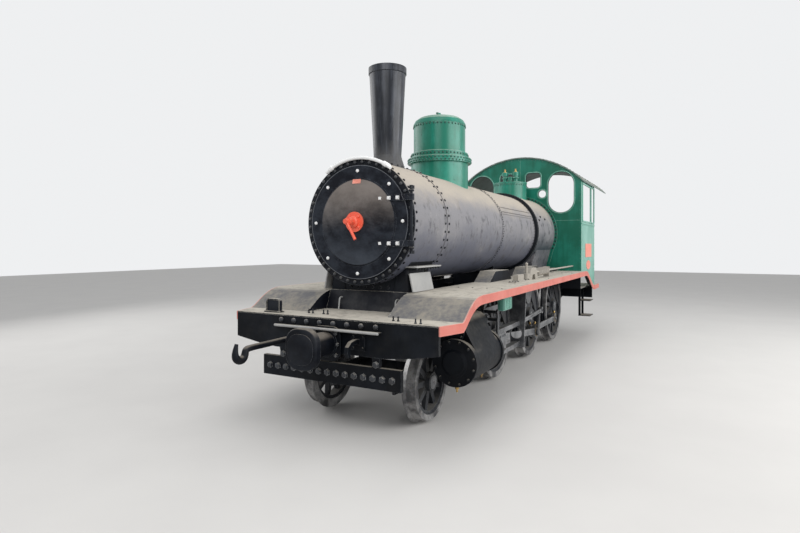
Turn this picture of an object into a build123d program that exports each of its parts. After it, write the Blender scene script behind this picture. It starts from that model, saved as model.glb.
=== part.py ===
# Narrow-gauge 2-6-0 steam locomotive, standing on its wheels, without its tender.
# Millimetres. +X is forward, +Y is the locomotive's left, +Z is up.
# The origin lies on the floor under the middle of the overall box, at the tips of the wheel flanges.
# Distances called "back" are measured rearwards from the front edge of the front deck.

import os
from math import acos, atan2, cos, degrees, hypot, radians, sin, sqrt

from build123d import *

# overall places
overall_length = 9075
hook_reach = 745
deck_front_x = overall_length / 2 - hook_reach
rail_gauge = 1050
flange_depth = 28
running_gap = 0.05
seat_gap = 0.5
clearance = 6

# wheels and axles: name, distance back, tread diameter, spokes, axle radius
driver_tread = 1150
leading_tread = 700
driver_axle_radius = 85
leading_axle_radius = 65
driver_backs = {"driver_1": 2650, "driver_2": 4170, "driver_3": 5690}
leading_back = 790
tyre_width = 120
flange_thickness = 32
flange_chamfer = 10
tread_taper = 5
wheel_back_y = rail_gauge / 2 - 8 - flange_thickness
wheel_face_y = wheel_back_y + tyre_width
driver_z = flange_depth + driver_tread / 2
leading_z = flange_depth + leading_tread / 2
tyre_thickness = {"driver": 65, "leading": 55}
rim_thickness = {"driver": 42, "leading": 32}
hub_radius = {"driver": 125, "leading": 88}
spoke_count = {"driver": 13, "leading": 9}
hub_stand = 14

# cranks and rods
crank_radius = 270
crank_angles = {1: -45, -1: 45}
crank_boss_radius = 92
crank_pin_radius = 46
coupling_rod_gap = 12
coupling_rod_width = 42
connecting_rod_width = 50
connecting_rod_length = 2150
rod_eye_radius = 88
small_eye_radius = 62
gudgeon_radius = 30
rod_shank_height = 84

# main frames
frame_plate_y = 415
frame_plate_thickness = 25
frame_rear_back = 7150
frame_top_front = 1010
frame_top_rear = 1160
frame_bottom = 430
frame_arch_z = 800
horn_gap = 230

# front end
beam_half_width = 1035
beam_thickness = 30
deck_top_z = 1020
deck_thickness = 10
beam_bottom_z = {"end": 791, "knee": 748, "middle": 728}
beam_knee_y = 770
well_half_width = 430
well_panel_back = {"bottom": 573, "top": 640}
hump_foot_back = 270
hump_head_back = 750
hump_foot_curve = 1.4
hump_head_curve = 2.6
hump_steps = 12

# running boards
board_top_z = 1203
board_thickness = 8
board_outer_y = 1117
board_inner_y = 452
strip_height = 78
strip_thickness = 10
board_rear_back = 7150
wheel_cut_half = 380
tail_drop_backs = (5810, 6630)
tail_top_z = 914

# boiler
boiler_z = 1848
smokebox_radius = 583
smokebox_wall = 14
smokebox_front_back = 484
smokebox_rear_back = 1190
barrel_radius = 575
band_back = 4630
wrapper_radius = 605
backhead_back = 6060
firebox_front_back = 4760
firebox_waist_y = 455
firebox_leg_y = 395
firebox_bottom_z = 760

# smokebox door
door_radius = 527
door_rim = 16
door_dish_radius = 395
door_dish = 46
door_hinge_y = 573
door_hinge_back = 440
door_strap_z = (2055, 1651)

# mountings on the boiler
chimney_back = 1020
chimney_top_z = 3420
dome_back = 2285
dome_radius = 313
turret_back = 5170
turret_radius = 262

# cab
cab_front_back = 5756
cab_half_width = 1050
cab_wall = 12
cab_post_back = 7100
roof_rear_back = overall_length - hook_reach
roof_front_overhang = 30
roof_peak_z = 3199
roof_eave_z = 2778
roof_thickness = 14
roof_half_width = 1085
floor_thickness = 14
waist_z = 2068

# cylinders and motion
cylinder_y = 885
cylinder_radius = 198
cylinder_backs = (650, 1400)
piston_rod_radius = 32
chest_z = 872
chest_radius = 118
crosshead_length = 300
guide_backs = (1480, 2520)
guide_height = 46
crosshead_height = 190
yoke_thickness = 18

# pony truck
pony_pivot_back = 1900
pony_plate_y = 330
pony_plate_thickness = 25
pony_pivot_z = 500
pony_pin_radius = 40


def back(distance):
    """The x of a place that far behind the deck's front edge."""
    return deck_front_x - distance


def block(back_front, back_rear, y_low, y_high, z_low, z_high):
    """A rectangular block between two distances back, two widths and two heights."""
    size = (back_rear - back_front, y_high - y_low, z_high - z_low)
    middle = (back((back_front + back_rear) / 2), (y_low + y_high) / 2, (z_low + z_high) / 2)
    return Pos(*middle) * Box(*size)


def bar_x(radius, back_front, back_rear, y, z):
    """A round bar along the locomotive."""
    middle = back((back_front + back_rear) / 2)
    return Pos(middle, y, z) * Rot(0, 90, 0) * Cylinder(radius, back_rear - back_front)


def bar_y(radius, x_back, y_low, y_high, z):
    """A round bar across the locomotive."""
    return Pos(back(x_back), (y_low + y_high) / 2, z) * Rot(90, 0, 0) * Cylinder(radius, y_high - y_low)


def bar_z(radius, x_back, y, z_low, z_high):
    """An upright round bar."""
    return Pos(back(x_back), y, (z_low + z_high) / 2) * Cylinder(radius, z_high - z_low)


def side_plate(points, y_low, y_high):
    """A plate along the locomotive: its outline is a list of (distance back, z)."""
    outline = Polyline(*[(back(b), y_low, z) for b, z in points], close=True)
    return extrude(make_face(outline), amount=y_high - y_low, dir=(0, 1, 0))


def plan_plate(points, z_low, z_high):
    """A level plate: its outline is a list of (distance back, y)."""
    outline = Polyline(*[(back(b), y, z_low) for b, y in points], close=True)
    return extrude(make_face(outline), amount=z_high - z_low, dir=(0, 0, 1))


def cross_plate(points, back_front, back_rear):
    """A plate across the locomotive: its outline is a list of (y, z)."""
    outline = Polyline(*[(back(back_rear), y, z) for y, z in points], close=True)
    return extrude(make_face(outline), amount=back_rear - back_front, dir=(1, 0, 0))


def turned_z(points, x_back, y=0):
    """A turned piece on an upright axis: its half outline is a list of (radius, z)."""
    outline = Polyline(*[(r, 0, z) for r, z in points], close=True)
    return Pos(back(x_back), y, 0) * revolve(make_face(outline), Axis.Z)


def turned_x(points, y, z):
    """A turned piece on an axis along the locomotive, from its half outline as (distance back, radius)."""
    outline = Polyline(*[(back(b), 0, r) for b, r in points], close=True)
    return Pos(0, y, z) * revolve(make_face(outline), Axis.X)


def mirrored(shape):
    """The same piece on the locomotive's other side."""
    return mirror(shape, about=Plane.XZ)


def both(shape):
    """A piece and its mirror image."""
    return [shape, mirrored(shape)]


def fused(pieces):
    """One solid out of pieces that touch."""
    first, *rest = pieces
    return first.fuse(*rest) if rest else first


nodes = {}


def keep(name, *pieces):
    """Store a node as its separate solids."""
    solids = []
    for piece in pieces:
        solids.extend(piece.solids())
    nodes[name] = solids[0] if len(solids) == 1 else Compound(children=solids)


# Frames and front end


def frame_plate():
    """One main frame plate with its horn gaps and the arch over the leading wheel."""
    top_step = 1440
    outline = [
        (beam_thickness, frame_arch_z),
        (1200, frame_arch_z),
        (1480, frame_bottom),
        (6450, frame_bottom),
        (frame_rear_back, 640),
        (frame_rear_back, tail_top_z - floor_thickness),
        (6060, tail_top_z - floor_thickness),
        (6000, frame_top_rear),
        (top_step + 60, frame_top_rear),
        (top_step, frame_top_front),
        (beam_thickness, frame_top_front),
    ]
    plate = side_plate(outline, frame_plate_y, frame_plate_y + frame_plate_thickness)
    for axle_back in driver_backs.values():
        plate -= block(
            axle_back - horn_gap / 2, axle_back + horn_gap / 2,
            frame_plate_y - 1, frame_plate_y + frame_plate_thickness + 1,
            frame_bottom - 1, driver_z + horn_gap / 2,
        )
    return plate


def make_frames():
    plate = frame_plate()
    keep("frame_plates", *both(plate))
    stretchers = []
    rows = ((500, 880, 1000), (1300, 820, 1000), (3410, 480, 1100), (4700, 480, 700))
    for stretcher_back, low, high in rows:
        stretchers.append(
            block(stretcher_back - 12, stretcher_back + 12, -frame_plate_y, frame_plate_y, low, high)
        )
    waist_sheet = block(3398, 3422, -300, 300, 1090, 1400) - bar_x(barrel_radius, 3300, 3500, 0, boiler_z)
    stretchers[2] += waist_sheet
    pivot_stretcher = block(
        pony_pivot_back - 90, pony_pivot_back + 90, -frame_plate_y, frame_plate_y,
        pony_pivot_z + 60, pony_pivot_z + 110,
    )
    pivot_pin = bar_z(pony_pin_radius, pony_pivot_back, 0, pony_pivot_z - 70, pony_pivot_z + 61)
    stretchers.append(pivot_stretcher + pivot_pin)
    keep("frame_stretchers", *stretchers)
    boxes = []
    for axle_back in driver_backs.values():
        box = block(
            axle_back - horn_gap / 2, axle_back + horn_gap / 2,
            frame_plate_y - 20, frame_plate_y + frame_plate_thickness + 25,
            driver_z - 150, driver_z + horn_gap / 2,
        )
        box -= bar_y(driver_axle_radius + running_gap, axle_back, frame_plate_y - 30, wheel_back_y, driver_z)
        boxes.extend(both(box))
    keep("axleboxes", *boxes)


drag_box_bore = 32
drag_box_back = 7060
drag_box_z = (680, 820)
drag_slot_z = (710, 790)
drag_slot_half = 120
drag_beam_thickness = 25
drag_beam_half = 1000
drag_beam_low = 640


def make_drag_box():
    body = block(6900, frame_rear_back, -frame_plate_y, frame_plate_y, *drag_box_z)
    body -= block(6940, frame_rear_back + 1, -drag_slot_half, drag_slot_half, *drag_slot_z)
    body -= bar_z(drag_box_bore, drag_box_back, 0, drag_box_z[0] - 1, drag_box_z[1] + 1)
    rear = frame_rear_back + drag_beam_thickness
    beam = block(
        frame_rear_back, rear, -drag_beam_half, drag_beam_half, drag_beam_low, tail_top_z - floor_thickness,
    )
    beam -= block(frame_rear_back - 1, rear + 1, -drag_slot_half, drag_slot_half, *drag_slot_z)
    keep("drag_beam", body + beam)


lamp_bracket_back = 95
lamp_bracket_y = 673
# width, height, bar and depth of the bow
lamp_bow = (160, 125, 12, 40)
saddle_backs = (670, 1150)


def make_front_beam():
    ends = beam_bottom_z
    outline = [
        (-beam_half_width, ends["end"]),
        (-beam_knee_y, ends["knee"]),
        (-beam_knee_y + 200, ends["middle"]),
        (beam_knee_y - 200, ends["middle"]),
        (beam_knee_y, ends["knee"]),
        (beam_half_width, ends["end"]),
        (beam_half_width, deck_top_z - deck_thickness),
        (-beam_half_width, deck_top_z - deck_thickness),
    ]
    beam = cross_plate(outline, 0, beam_thickness)
    ledge = block(-60, 0, -534, 534, 929, 937)
    keep("buffer_beam", beam + ledge)

    foot = hump_foot_back
    plan = [(0, -beam_half_width), (foot, -board_outer_y), (foot, board_outer_y), (0, beam_half_width)]
    deck = plan_plate(plan, deck_top_z - deck_thickness, deck_top_z)
    deck += block(
        hump_foot_back, well_panel_back["bottom"] + 20, -well_half_width, well_half_width,
        deck_top_z - deck_thickness, deck_top_z,
    )
    low, high = well_panel_back["bottom"], well_panel_back["top"]
    panel = side_plate(
        [(low, deck_top_z), (low + 12, deck_top_z), (high + 12, board_top_z), (high, board_top_z)],
        -well_half_width, well_half_width,
    )
    well_top = block(
        high, saddle_backs[0], -well_half_width, well_half_width, board_top_z - board_thickness, board_top_z,
    )
    keep("front_deck", fused([deck, panel, well_top, lamp_bracket()]))


def lamp_bracket():
    """A standing bow of flat bar on the deck's right end, with its foot plates."""
    width, height, bar, depth = lamp_bow
    middle = -lamp_bracket_y
    rise = deck_top_z + height
    front, rear = lamp_bracket_back - depth / 2, lamp_bracket_back + depth / 2
    bow = block(front, rear, middle - width / 2, middle + width / 2, deck_top_z, rise)
    bow = fillet(bow.edges().filter_by(Axis.X).group_by(Axis.Z)[-1], height / 4)
    hollow = block(
        front - 1, rear + 1, middle - width / 2 + bar, middle + width / 2 - bar, deck_top_z, rise - bar,
    )
    bow -= hollow
    foot = block(
        front - bar, rear + bar, middle - width / 2 - bar, middle + width / 2 + bar, deck_top_z,
        deck_top_z + bar,
    )
    return fused([bow, foot])


buffer_z = 809
buffer_reach = 358


def make_buffer():
    flange = bar_x(118, -25, 0, 0, buffer_z)
    shank = bar_x(99, -buffer_reach + 60, -20, 0, buffer_z)
    head = Pos(back(-buffer_reach + 30), 0, buffer_z) * Rot(0, 90, 0) * extrude(
        RectangleRounded(330, 310, 120), amount=30, both=True
    )
    head = fillet(head.edges().filter_by(Plane.YZ).group_by(Axis.X)[-1], 14)
    keep("centre_buffer", fused([flange, shank, head]))


def make_hooks():
    hook_y = 315
    hook_z = 838
    long_neck = 600
    wire = 34
    washer = bar_x(70, -14, 0, -hook_y, hook_z)
    shank = bar_x(wire / 2 + 8, -long_neck, 0, -hook_y, hook_z)
    bowl = [
        (-long_neck + 30, hook_z + 24),
        (-hook_reach + 45, hook_z + 26),
        (-hook_reach + 8, hook_z - 4),
        (-hook_reach, hook_z - 50),
        (-hook_reach + 18, hook_z - 84),
        (-hook_reach + 60, hook_z - 97),
        (-hook_reach + 102, hook_z - 82),
        (-hook_reach + 112, hook_z - 50),
        (-hook_reach + 84, hook_z - 50),
        (-hook_reach + 72, hook_z - 62),
        (-hook_reach + 48, hook_z - 60),
        (-hook_reach + 38, hook_z - 44),
        (-hook_reach + 50, hook_z - 26),
        (-long_neck + 30, hook_z - 24),
    ]
    hook = side_plate(bowl, -hook_y - wire / 2, -hook_y + wire / 2)
    keep("coupling_hook_right", fused([washer, shank, hook]))

    short = [
        (0, hook_z + 30),
        (-60, hook_z + 34),
        (-130, hook_z + 22),
        (-172, hook_z - 12),
        (-184, hook_z - 58),
        (-166, hook_z - 96),
        (-142, hook_z - 92),
        (-148, hook_z - 56),
        (-136, hook_z - 26),
        (-104, hook_z - 8),
        (-50, hook_z),
        (0, hook_z - 24),
    ]
    eye = side_plate(short, hook_y - wire / 2, hook_y + wire / 2)
    plate = block(-12, 0, hook_y - 65, hook_y + 65, hook_z - 65, hook_z + 65)
    keep("coupling_hook_left", eye + plate)


guard_z = (473, 648)
guard_half_width = 710
guard_thickness = 40


def make_guard():
    beam = block(0, guard_thickness, -guard_half_width, guard_half_width, *guard_z)
    hangers = []
    for y in (-480, 480):
        hangers.append(block(0, beam_thickness, y - 35, y + 35, guard_z[1], beam_bottom_z["middle"]))
    keep("guard_beam", fused([beam, *hangers]))


# Running boards

tail_steps = 8
cheek_thickness = 10
cheek_tail = 60
splasher_wall = 6
splasher_ys = (wheel_back_y - 24, wheel_face_y + 46)
wheel_box_y = 706
wheel_box_rear = 6270
cab_box_height = 48

# splashers: front foot, crown's start, crown's end and rear foot as distances back, and height
splashers = (
    (2249, 2463, 2963, 3103, 125),
    (3743, 3920, 4420, 4600, 125),
)
low_splasher = (4710, 4920, cab_front_back, cab_front_back, cab_box_height)

def hump_height(distance):
    """Height of the board's top where it sweeps up from the deck over the cylinder."""
    share = (distance - hump_foot_back) / (hump_head_back - hump_foot_back)
    rise = (1 - (1 - share) ** hump_head_curve) ** hump_foot_curve
    return deck_top_z + (board_top_z - deck_top_z) * rise


def tail_height(distance):
    """Height of the board's top through the S-shaped drop beside the cab."""
    start, end = tail_drop_backs
    share = min(1, max(0, (distance - start) / (end - start)))
    return board_top_z + (tail_top_z - board_top_z) * (3 * share**2 - 2 * share**3)


def hump_line(offset):
    """Points (distance back, z) along the hump's top, moved down by an offset."""
    points = []
    for step in range(hump_steps + 1):
        distance = hump_foot_back + (hump_head_back - hump_foot_back) * step / hump_steps
        points.append((distance, hump_height(distance) - offset))
    return points


def board_line(offset):
    """Points (distance back, z) along the whole running board's top, moved down by an offset."""
    points = hump_line(offset)
    start, end = tail_drop_backs
    for step in range(tail_steps + 1):
        distance = start + (end - start) * step / tail_steps
        points.append((distance, tail_height(distance) - offset))
    points.append((board_rear_back, tail_top_z - offset))
    return points


def make_boards():
    plate = side_plate(board_line(0) + board_line(board_thickness)[::-1], board_inner_y, board_outer_y)
    top, under = hump_line(0), hump_line(board_thickness)
    hump_inner = side_plate(top + under[::-1], well_half_width, board_inner_y)
    cheek_rear = hump_head_back + cheek_tail
    cheek = [(hump_foot_back, deck_top_z), *under[3:], (cheek_rear, under[-1][1]), (cheek_rear, deck_top_z)]
    cheek_plate = side_plate(cheek, well_half_width, well_half_width + cheek_thickness)
    board = fused([plate, hump_inner, cheek_plate])
    for axle_back in driver_backs.values():
        board -= block(
            axle_back - wheel_cut_half, axle_back + wheel_cut_half, splasher_ys[0] + splasher_wall,
            splasher_ys[1] - splasher_wall, deck_top_z, board_top_z + 1,
        )
    board -= block(cab_front_back, board_rear_back + 1, 0, cab_half_width - cab_wall, 0, board_top_z + 1)
    slot_half = reach_arm_thickness / 2 + clearance
    slot = block(
        *reach_slot_backs, reach_gear_y - slot_half, reach_gear_y + slot_half, deck_top_z, board_top_z + 1
    )
    keep("running_board_left", board - slot)
    keep("running_board_right", mirrored(board))

    line = [(0, deck_top_z), *board_line(0)]
    profile = line + [(b, z - strip_height) for b, z in line[::-1]]
    strip = side_plate(profile, 0, board_outer_y + 2 * strip_thickness)
    outer = strip_thickness
    strip &= plan_plate(
        [
            (0, beam_half_width), (hump_foot_back, board_outer_y), (board_rear_back, board_outer_y),
            (board_rear_back, board_outer_y + outer), (hump_foot_back, board_outer_y + outer),
            (0, beam_half_width + outer),
        ],
        0, board_top_z + 1,
    )
    keep("edge_strips", *both(strip))


board_bracket_backs = (1470, 3410, 4930)
board_bracket_thickness = 12


def make_board_brackets():
    brackets = []
    half = board_bracket_thickness / 2
    for bracket_back in board_bracket_backs:
        plate = cross_plate(
            [
                (frame_plate_y + frame_plate_thickness, board_top_z - board_thickness),
                (board_outer_y - 20, board_top_z - board_thickness),
                (board_outer_y - 20, board_top_z - 70),
                (640, board_top_z - 160),
                (frame_plate_y + frame_plate_thickness, 960),
            ],
            bracket_back - half, bracket_back + half,
        )
        brackets.extend(both(plate))
    keep("board_brackets", *brackets)


def splasher(foot, crown_start, crown_end, rear_foot, height):
    """A left-hand wheel cover on the running board, open below."""
    top = board_top_z + height
    outline = [(foot, board_top_z), (crown_start, top), (crown_end, top), (rear_foot, board_top_z)]
    slope = 2 * splasher_wall
    front_in = foot + slope
    rear_in = rear_foot - slope if rear_foot > crown_end else rear_foot + 1
    crown_rear_in = crown_end - splasher_wall if rear_foot > crown_end else crown_end + 1
    hollow = [
        (front_in, board_top_z - 1), (crown_start + splasher_wall, top - splasher_wall),
        (crown_rear_in, top - splasher_wall), (rear_in, board_top_z - 1),
    ]
    cover = side_plate(outline, *splasher_ys)
    return cover - side_plate(hollow, splasher_ys[0] + splasher_wall, splasher_ys[1] - splasher_wall)


def cab_wheel_box():
    """The left-hand box in the cab over the rear driving wheel, open towards the firebox."""
    front, top = cab_front_back + cab_wall, board_top_z + cab_box_height
    wall = splasher_wall
    box = block(front, wheel_box_rear, firebox_waist_y, wheel_box_y, tail_top_z, top)
    box -= block(
        front - 1, wheel_box_rear - wall, firebox_waist_y + wall, wheel_box_y - wall, tail_top_z - 1,
        top - wall,
    )
    return box - block(front - 1, backhead_back, 0, firebox_waist_y + wall + 1, tail_top_z - 1, top - wall)


def make_splashers():
    covers = []
    for row in splashers:
        covers.extend(both(splasher(*row)))
    low = splasher(*low_splasher)
    low -= block(firebox_front_back, cab_front_back + 1, 0, firebox_waist_y + 20, board_top_z - 1, 1300)
    covers.extend(both(low))
    covers.extend(both(cab_wheel_box()))
    keep("splashers", *covers)


# Boiler


def make_smokebox():
    shell = bar_x(smokebox_radius, smokebox_front_back + 16, smokebox_rear_back, 0, boiler_z)
    shell -= bar_x(
        smokebox_radius - smokebox_wall, smokebox_front_back + 15, smokebox_rear_back + 1, 0, boiler_z,
    )
    flue = bar_z(128, chimney_back, 0, boiler_z + 300, boiler_z + smokebox_radius + 50)
    keep("smokebox_shell", shell - flue)

    ring = bar_x(smokebox_radius, smokebox_front_back, smokebox_front_back + 16, 0, boiler_z)
    ring -= bar_x(door_radius - 50, smokebox_front_back - 1, smokebox_front_back + 17, 0, boiler_z)
    keep("smokebox_front", ring)


def make_hinge_post():
    post = bar_z(13, door_hinge_back, door_hinge_y, 1560, 2157)
    lugs = []
    for z in (1575, 2142):
        lugs.append(block(
            door_hinge_back - 13, smokebox_front_back, door_hinge_y - 13, door_hinge_y + 8, z - 15, z + 15,
        ))
    keep("door_hinge_post", fused([post, *lugs]))


def make_door():
    front = smokebox_front_back - seat_gap - door_rim
    outline = [
        (front + door_rim, 0),
        (front + door_rim, door_radius),
        (front, door_radius),
        (front, door_dish_radius + 12),
        (front - 10, door_dish_radius),
        (front - 26, door_dish_radius * 0.82),
        (front - 38, door_dish_radius * 0.56),
        (front - door_dish, door_dish_radius * 0.28),
        (front - door_dish, 0),
    ]
    door = turned_x(outline, 0, boiler_z)
    straps = []
    for z in door_strap_z:
        bar = block(front - 16, front, 200, door_hinge_y - 22, z - 27, z + 27)
        bar += block(door_hinge_back - 22, front, door_hinge_y - 60, door_hinge_y - 22, z - 27, z + 27)
        eye = bar_z(26, door_hinge_back, door_hinge_y, z - 27, z + 27)
        arm = block(
            door_hinge_back - 16, door_hinge_back + 16, door_hinge_y - 60, door_hinge_y, z - 27, z + 27,
        )
        strap = fused([bar, eye, arm])
        strap -= bar_z(13 + running_gap, door_hinge_back, door_hinge_y, z - 28, z + 28)
        straps.append(strap)
    keep("smokebox_door", fused([door, *straps]))

    hub = bar_x(93, 407, front - door_dish, 0, boiler_z)
    shaft = bar_x(22, 262, 407, 0, boiler_z)
    grip = bar_x(36, 300, 340, 0, boiler_z)
    lever_end = (93, 1685)
    length = hypot(lever_end[0], lever_end[1] - boiler_z)
    turn = degrees(acos((boiler_z - lever_end[1]) / length))
    lever = Pos(back(285), 0, boiler_z) * Rot(turn, 0, 0) * Pos(0, 0, -length / 2) * Cylinder(13, length)
    keep("door_handle", fused([hub, shaft, grip, lever]))


def make_barrel():
    keep("boiler_barrel", bar_x(barrel_radius, smokebox_rear_back, band_back, 0, boiler_z))
    rings = []
    first = bar_x(590, smokebox_rear_back, smokebox_rear_back + 60, 0, boiler_z)
    rings.append(first - bar_x(barrel_radius, smokebox_rear_back - 1, smokebox_rear_back + 61, 0, boiler_z))
    second = bar_x(581, 2965, 3015, 0, boiler_z)
    rings.append(second - bar_x(barrel_radius, 2964, 3016, 0, boiler_z))
    third = bar_x(618, band_back - 70, band_back, 0, boiler_z)
    rings.append(third - bar_x(barrel_radius, band_back - 71, band_back + 1, 0, boiler_z))
    keep("boiler_bands", *rings)


def firebox_section(grow):
    """The firebox wrapper's section across the boiler, as one face at x = 0."""
    radius = wrapper_radius + grow
    waist = (firebox_waist_y + grow, 1262)
    lean = radians(-28)
    side = (radius * cos(lean), boiler_z + radius * sin(lean))
    top = boiler_z + radius
    arc = ThreePointArc((0, side[0], side[1]), (0, 0, top), (0, -side[0], side[1]))
    lower = Polyline(
        (0, -side[0], side[1]),
        (0, -waist[0], waist[1]),
        (0, -(firebox_leg_y + grow), 1200),
        (0, -(firebox_leg_y + grow), firebox_bottom_z - grow),
        (0, firebox_leg_y + grow, firebox_bottom_z - grow),
        (0, firebox_leg_y + grow, 1200),
        (0, waist[0], waist[1]),
        (0, side[0], side[1]),
    )
    return make_face(Wire([arc, *lower.edges()]))


def firebox_body(back_front, back_rear, grow=0):
    """The firebox section drawn out along the locomotive."""
    face = Pos(back(back_rear), 0, 0) * firebox_section(grow)
    return extrude(face, amount=back_rear - back_front, dir=(1, 0, 0))


def make_firebox():
    round_part = bar_x(wrapper_radius, band_back, firebox_front_back + 1, 0, boiler_z)
    keep("firebox_wrapper", round_part + firebox_body(firebox_front_back, backhead_back))
    ashpan = side_plate(
        [
            (4800, firebox_bottom_z), (4860, 500), (5380, 500), (5540, 715), (6020, 715),
            (6020, firebox_bottom_z),
        ],
        -350, 350,
    )
    keep("ashpan", ashpan)


def make_saddle():
    smokebox = bar_x(smokebox_radius, 600, 1300, 0, boiler_z)
    body = cross_plate(
        [(-well_half_width, 1010), (well_half_width, 1010), (well_half_width, 1215), (330, 1290),
         (455, 1480), (-455, 1480), (-330, 1290), (-well_half_width, 1215)],
        *saddle_backs,
    )
    foot = cross_plate(
        [(-frame_plate_y, 820), (frame_plate_y, 820), (frame_plate_y, 1010), (-frame_plate_y, 1010)], 700,
        1120
    )
    keep("smokebox_saddle", (body + foot) - smokebox)
    cover = cross_plate([(452, 1368), (468, 1374), (640, board_top_z), (618, board_top_z)], 685, 1107)
    flange = cross_plate([(440, 1350), (500, 1380), (520, 1410), (430, 1405)], 670, 1125)
    covers = []
    for side in both((cover + flange) - smokebox):
        covers.append(side)
    keep("steam_pipe_covers", *covers)


def make_chimney():
    seat = boiler_z + smokebox_radius
    outline = [
        (128, seat - 150),
        (166, seat - 150),
        (166, seat + 14),
        (160, seat + 34),
        (148, seat + 70),
        (141, seat + 100),
        (139.5, 2528),
        (183.5, chimney_top_z - 70),
        (192.5, chimney_top_z - 62),
        (192.5, chimney_top_z),
        (172, chimney_top_z),
        (128, 2528),
    ]
    stack = turned_z(outline, chimney_back)
    stack -= bar_x(smokebox_radius, 500, 1500, 0, boiler_z)
    keep("chimney", stack)


def make_dome():
    seat = boiler_z + barrel_radius
    outline = [
        (0, seat - 180),
        (345, seat - 180),
        (345, 2618),
        (382, 2618),
        (382, 2678),
        (345, 2690),
        (345, 2740),
        (dome_radius, 2752),
        (dome_radius, 3078),
        (dome_radius + 6, 3082),
        (dome_radius + 4, 3096),
        (dome_radius - 18, 3136),
        (dome_radius - 68, 3172),
        (dome_radius - 150, 3193),
        (dome_radius - 240, 3200),
        (24, 3200),
        (24, 3226),
        (14, 3248),
        (0, 3248),
    ]
    dome = turned_z(outline, dome_back)
    keep("dome", dome - bar_x(barrel_radius, 1800, 2800, 0, boiler_z))


def make_turret():
    seat = boiler_z + wrapper_radius
    casing = turned_z(
        [(0, seat - 150), (turret_radius, seat - 150), (turret_radius, 2660), (turret_radius + 12, 2664),
         (turret_radius + 12, 2685), (0, 2685)],
        turret_back,
    )
    casing -= bar_x(wrapper_radius, 4700, 5700, 0, boiler_z)
    valves = []
    for y, height in ((-90, 2868), (90, 2868), (0, 2790)):
        valves.append(bar_z(38, turret_back, y, 2684, height - 40))
        valves.append(bar_z(52, turret_back, y, height - 60, height))
    keep("safety_valves", fused([casing, *valves]))


handrail_radius = 606
handrail_rod_radius = 16.5
handrail_back = 470
handrail_half_angle = 36.5
handrail_stay_angle = 30
handrail_stay_radius = 15
handrail_foot = (34, 50, 44)
handrail_sleeve = (23, 44)


def make_handrail():
    path = CenterArc((0, 0, 0), handrail_radius, 90 - handrail_half_angle, 2 * handrail_half_angle)
    start = Plane(origin=path @ 0, z_dir=path % 0)
    arc = sweep(start * Circle(handrail_rod_radius), path=path)
    arc = Plane(origin=(back(handrail_back), 0, boiler_z), x_dir=(0, 1, 0), z_dir=(1, 0, 0)) * arc
    foot_back = smokebox_front_back + handrail_foot[0] / 2 + cover_lip
    foot_radius = (handrail_radius + smokebox_radius) / 2
    pieces = [arc]
    for angle in (90 - handrail_stay_angle, 90 + handrail_stay_angle):
        across, rise = cos(radians(angle)), sin(radians(angle))
        y, z = handrail_radius * across, boiler_z + handrail_radius * rise
        pieces.append(bar_x(handrail_stay_radius, handrail_back, foot_back, y, z))
        foot = Pos(back(foot_back), foot_radius * across, boiler_z + foot_radius * rise)
        pieces.append(foot * Rot(angle, 0, 0) * Box(*handrail_foot))
        pieces.append(Pos(back(handrail_back), y, z) * Rot(angle, 0, 0) * Cylinder(*handrail_sleeve))
    solid = fused(pieces)
    rear = foot_back + handrail_foot[0]
    solid -= bar_x(smokebox_radius, smokebox_front_back, rear, 0, boiler_z)
    keep("smokebox_handrail", solid)


# Cab


def roof_z(y, drop=0):
    """Height of the roof's arc above a width, moved in by a drop."""
    rise = roof_peak_z - roof_eave_z
    radius = (cab_half_width**2 + rise**2) / (2 * rise)
    centre = roof_peak_z - radius
    return centre + sqrt((radius - drop) ** 2 - y**2)


def rounded_window(y_low, y_high, z_low, z_high, radius):
    """A window cut through the cab's front sheet."""
    window = RectangleRounded(y_high - y_low, z_high - z_low, radius)
    plane = Plane(
        origin=(back(cab_front_back + cab_wall / 2), (y_low + y_high) / 2, (z_low + z_high) / 2),
        x_dir=(0, 1, 0), z_dir=(1, 0, 0),
    )
    return extrude(plane * window, amount=cab_wall * 2, both=True)


wheel_cut_y = (firebox_waist_y, splasher_ys[1] - splasher_wall)


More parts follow.
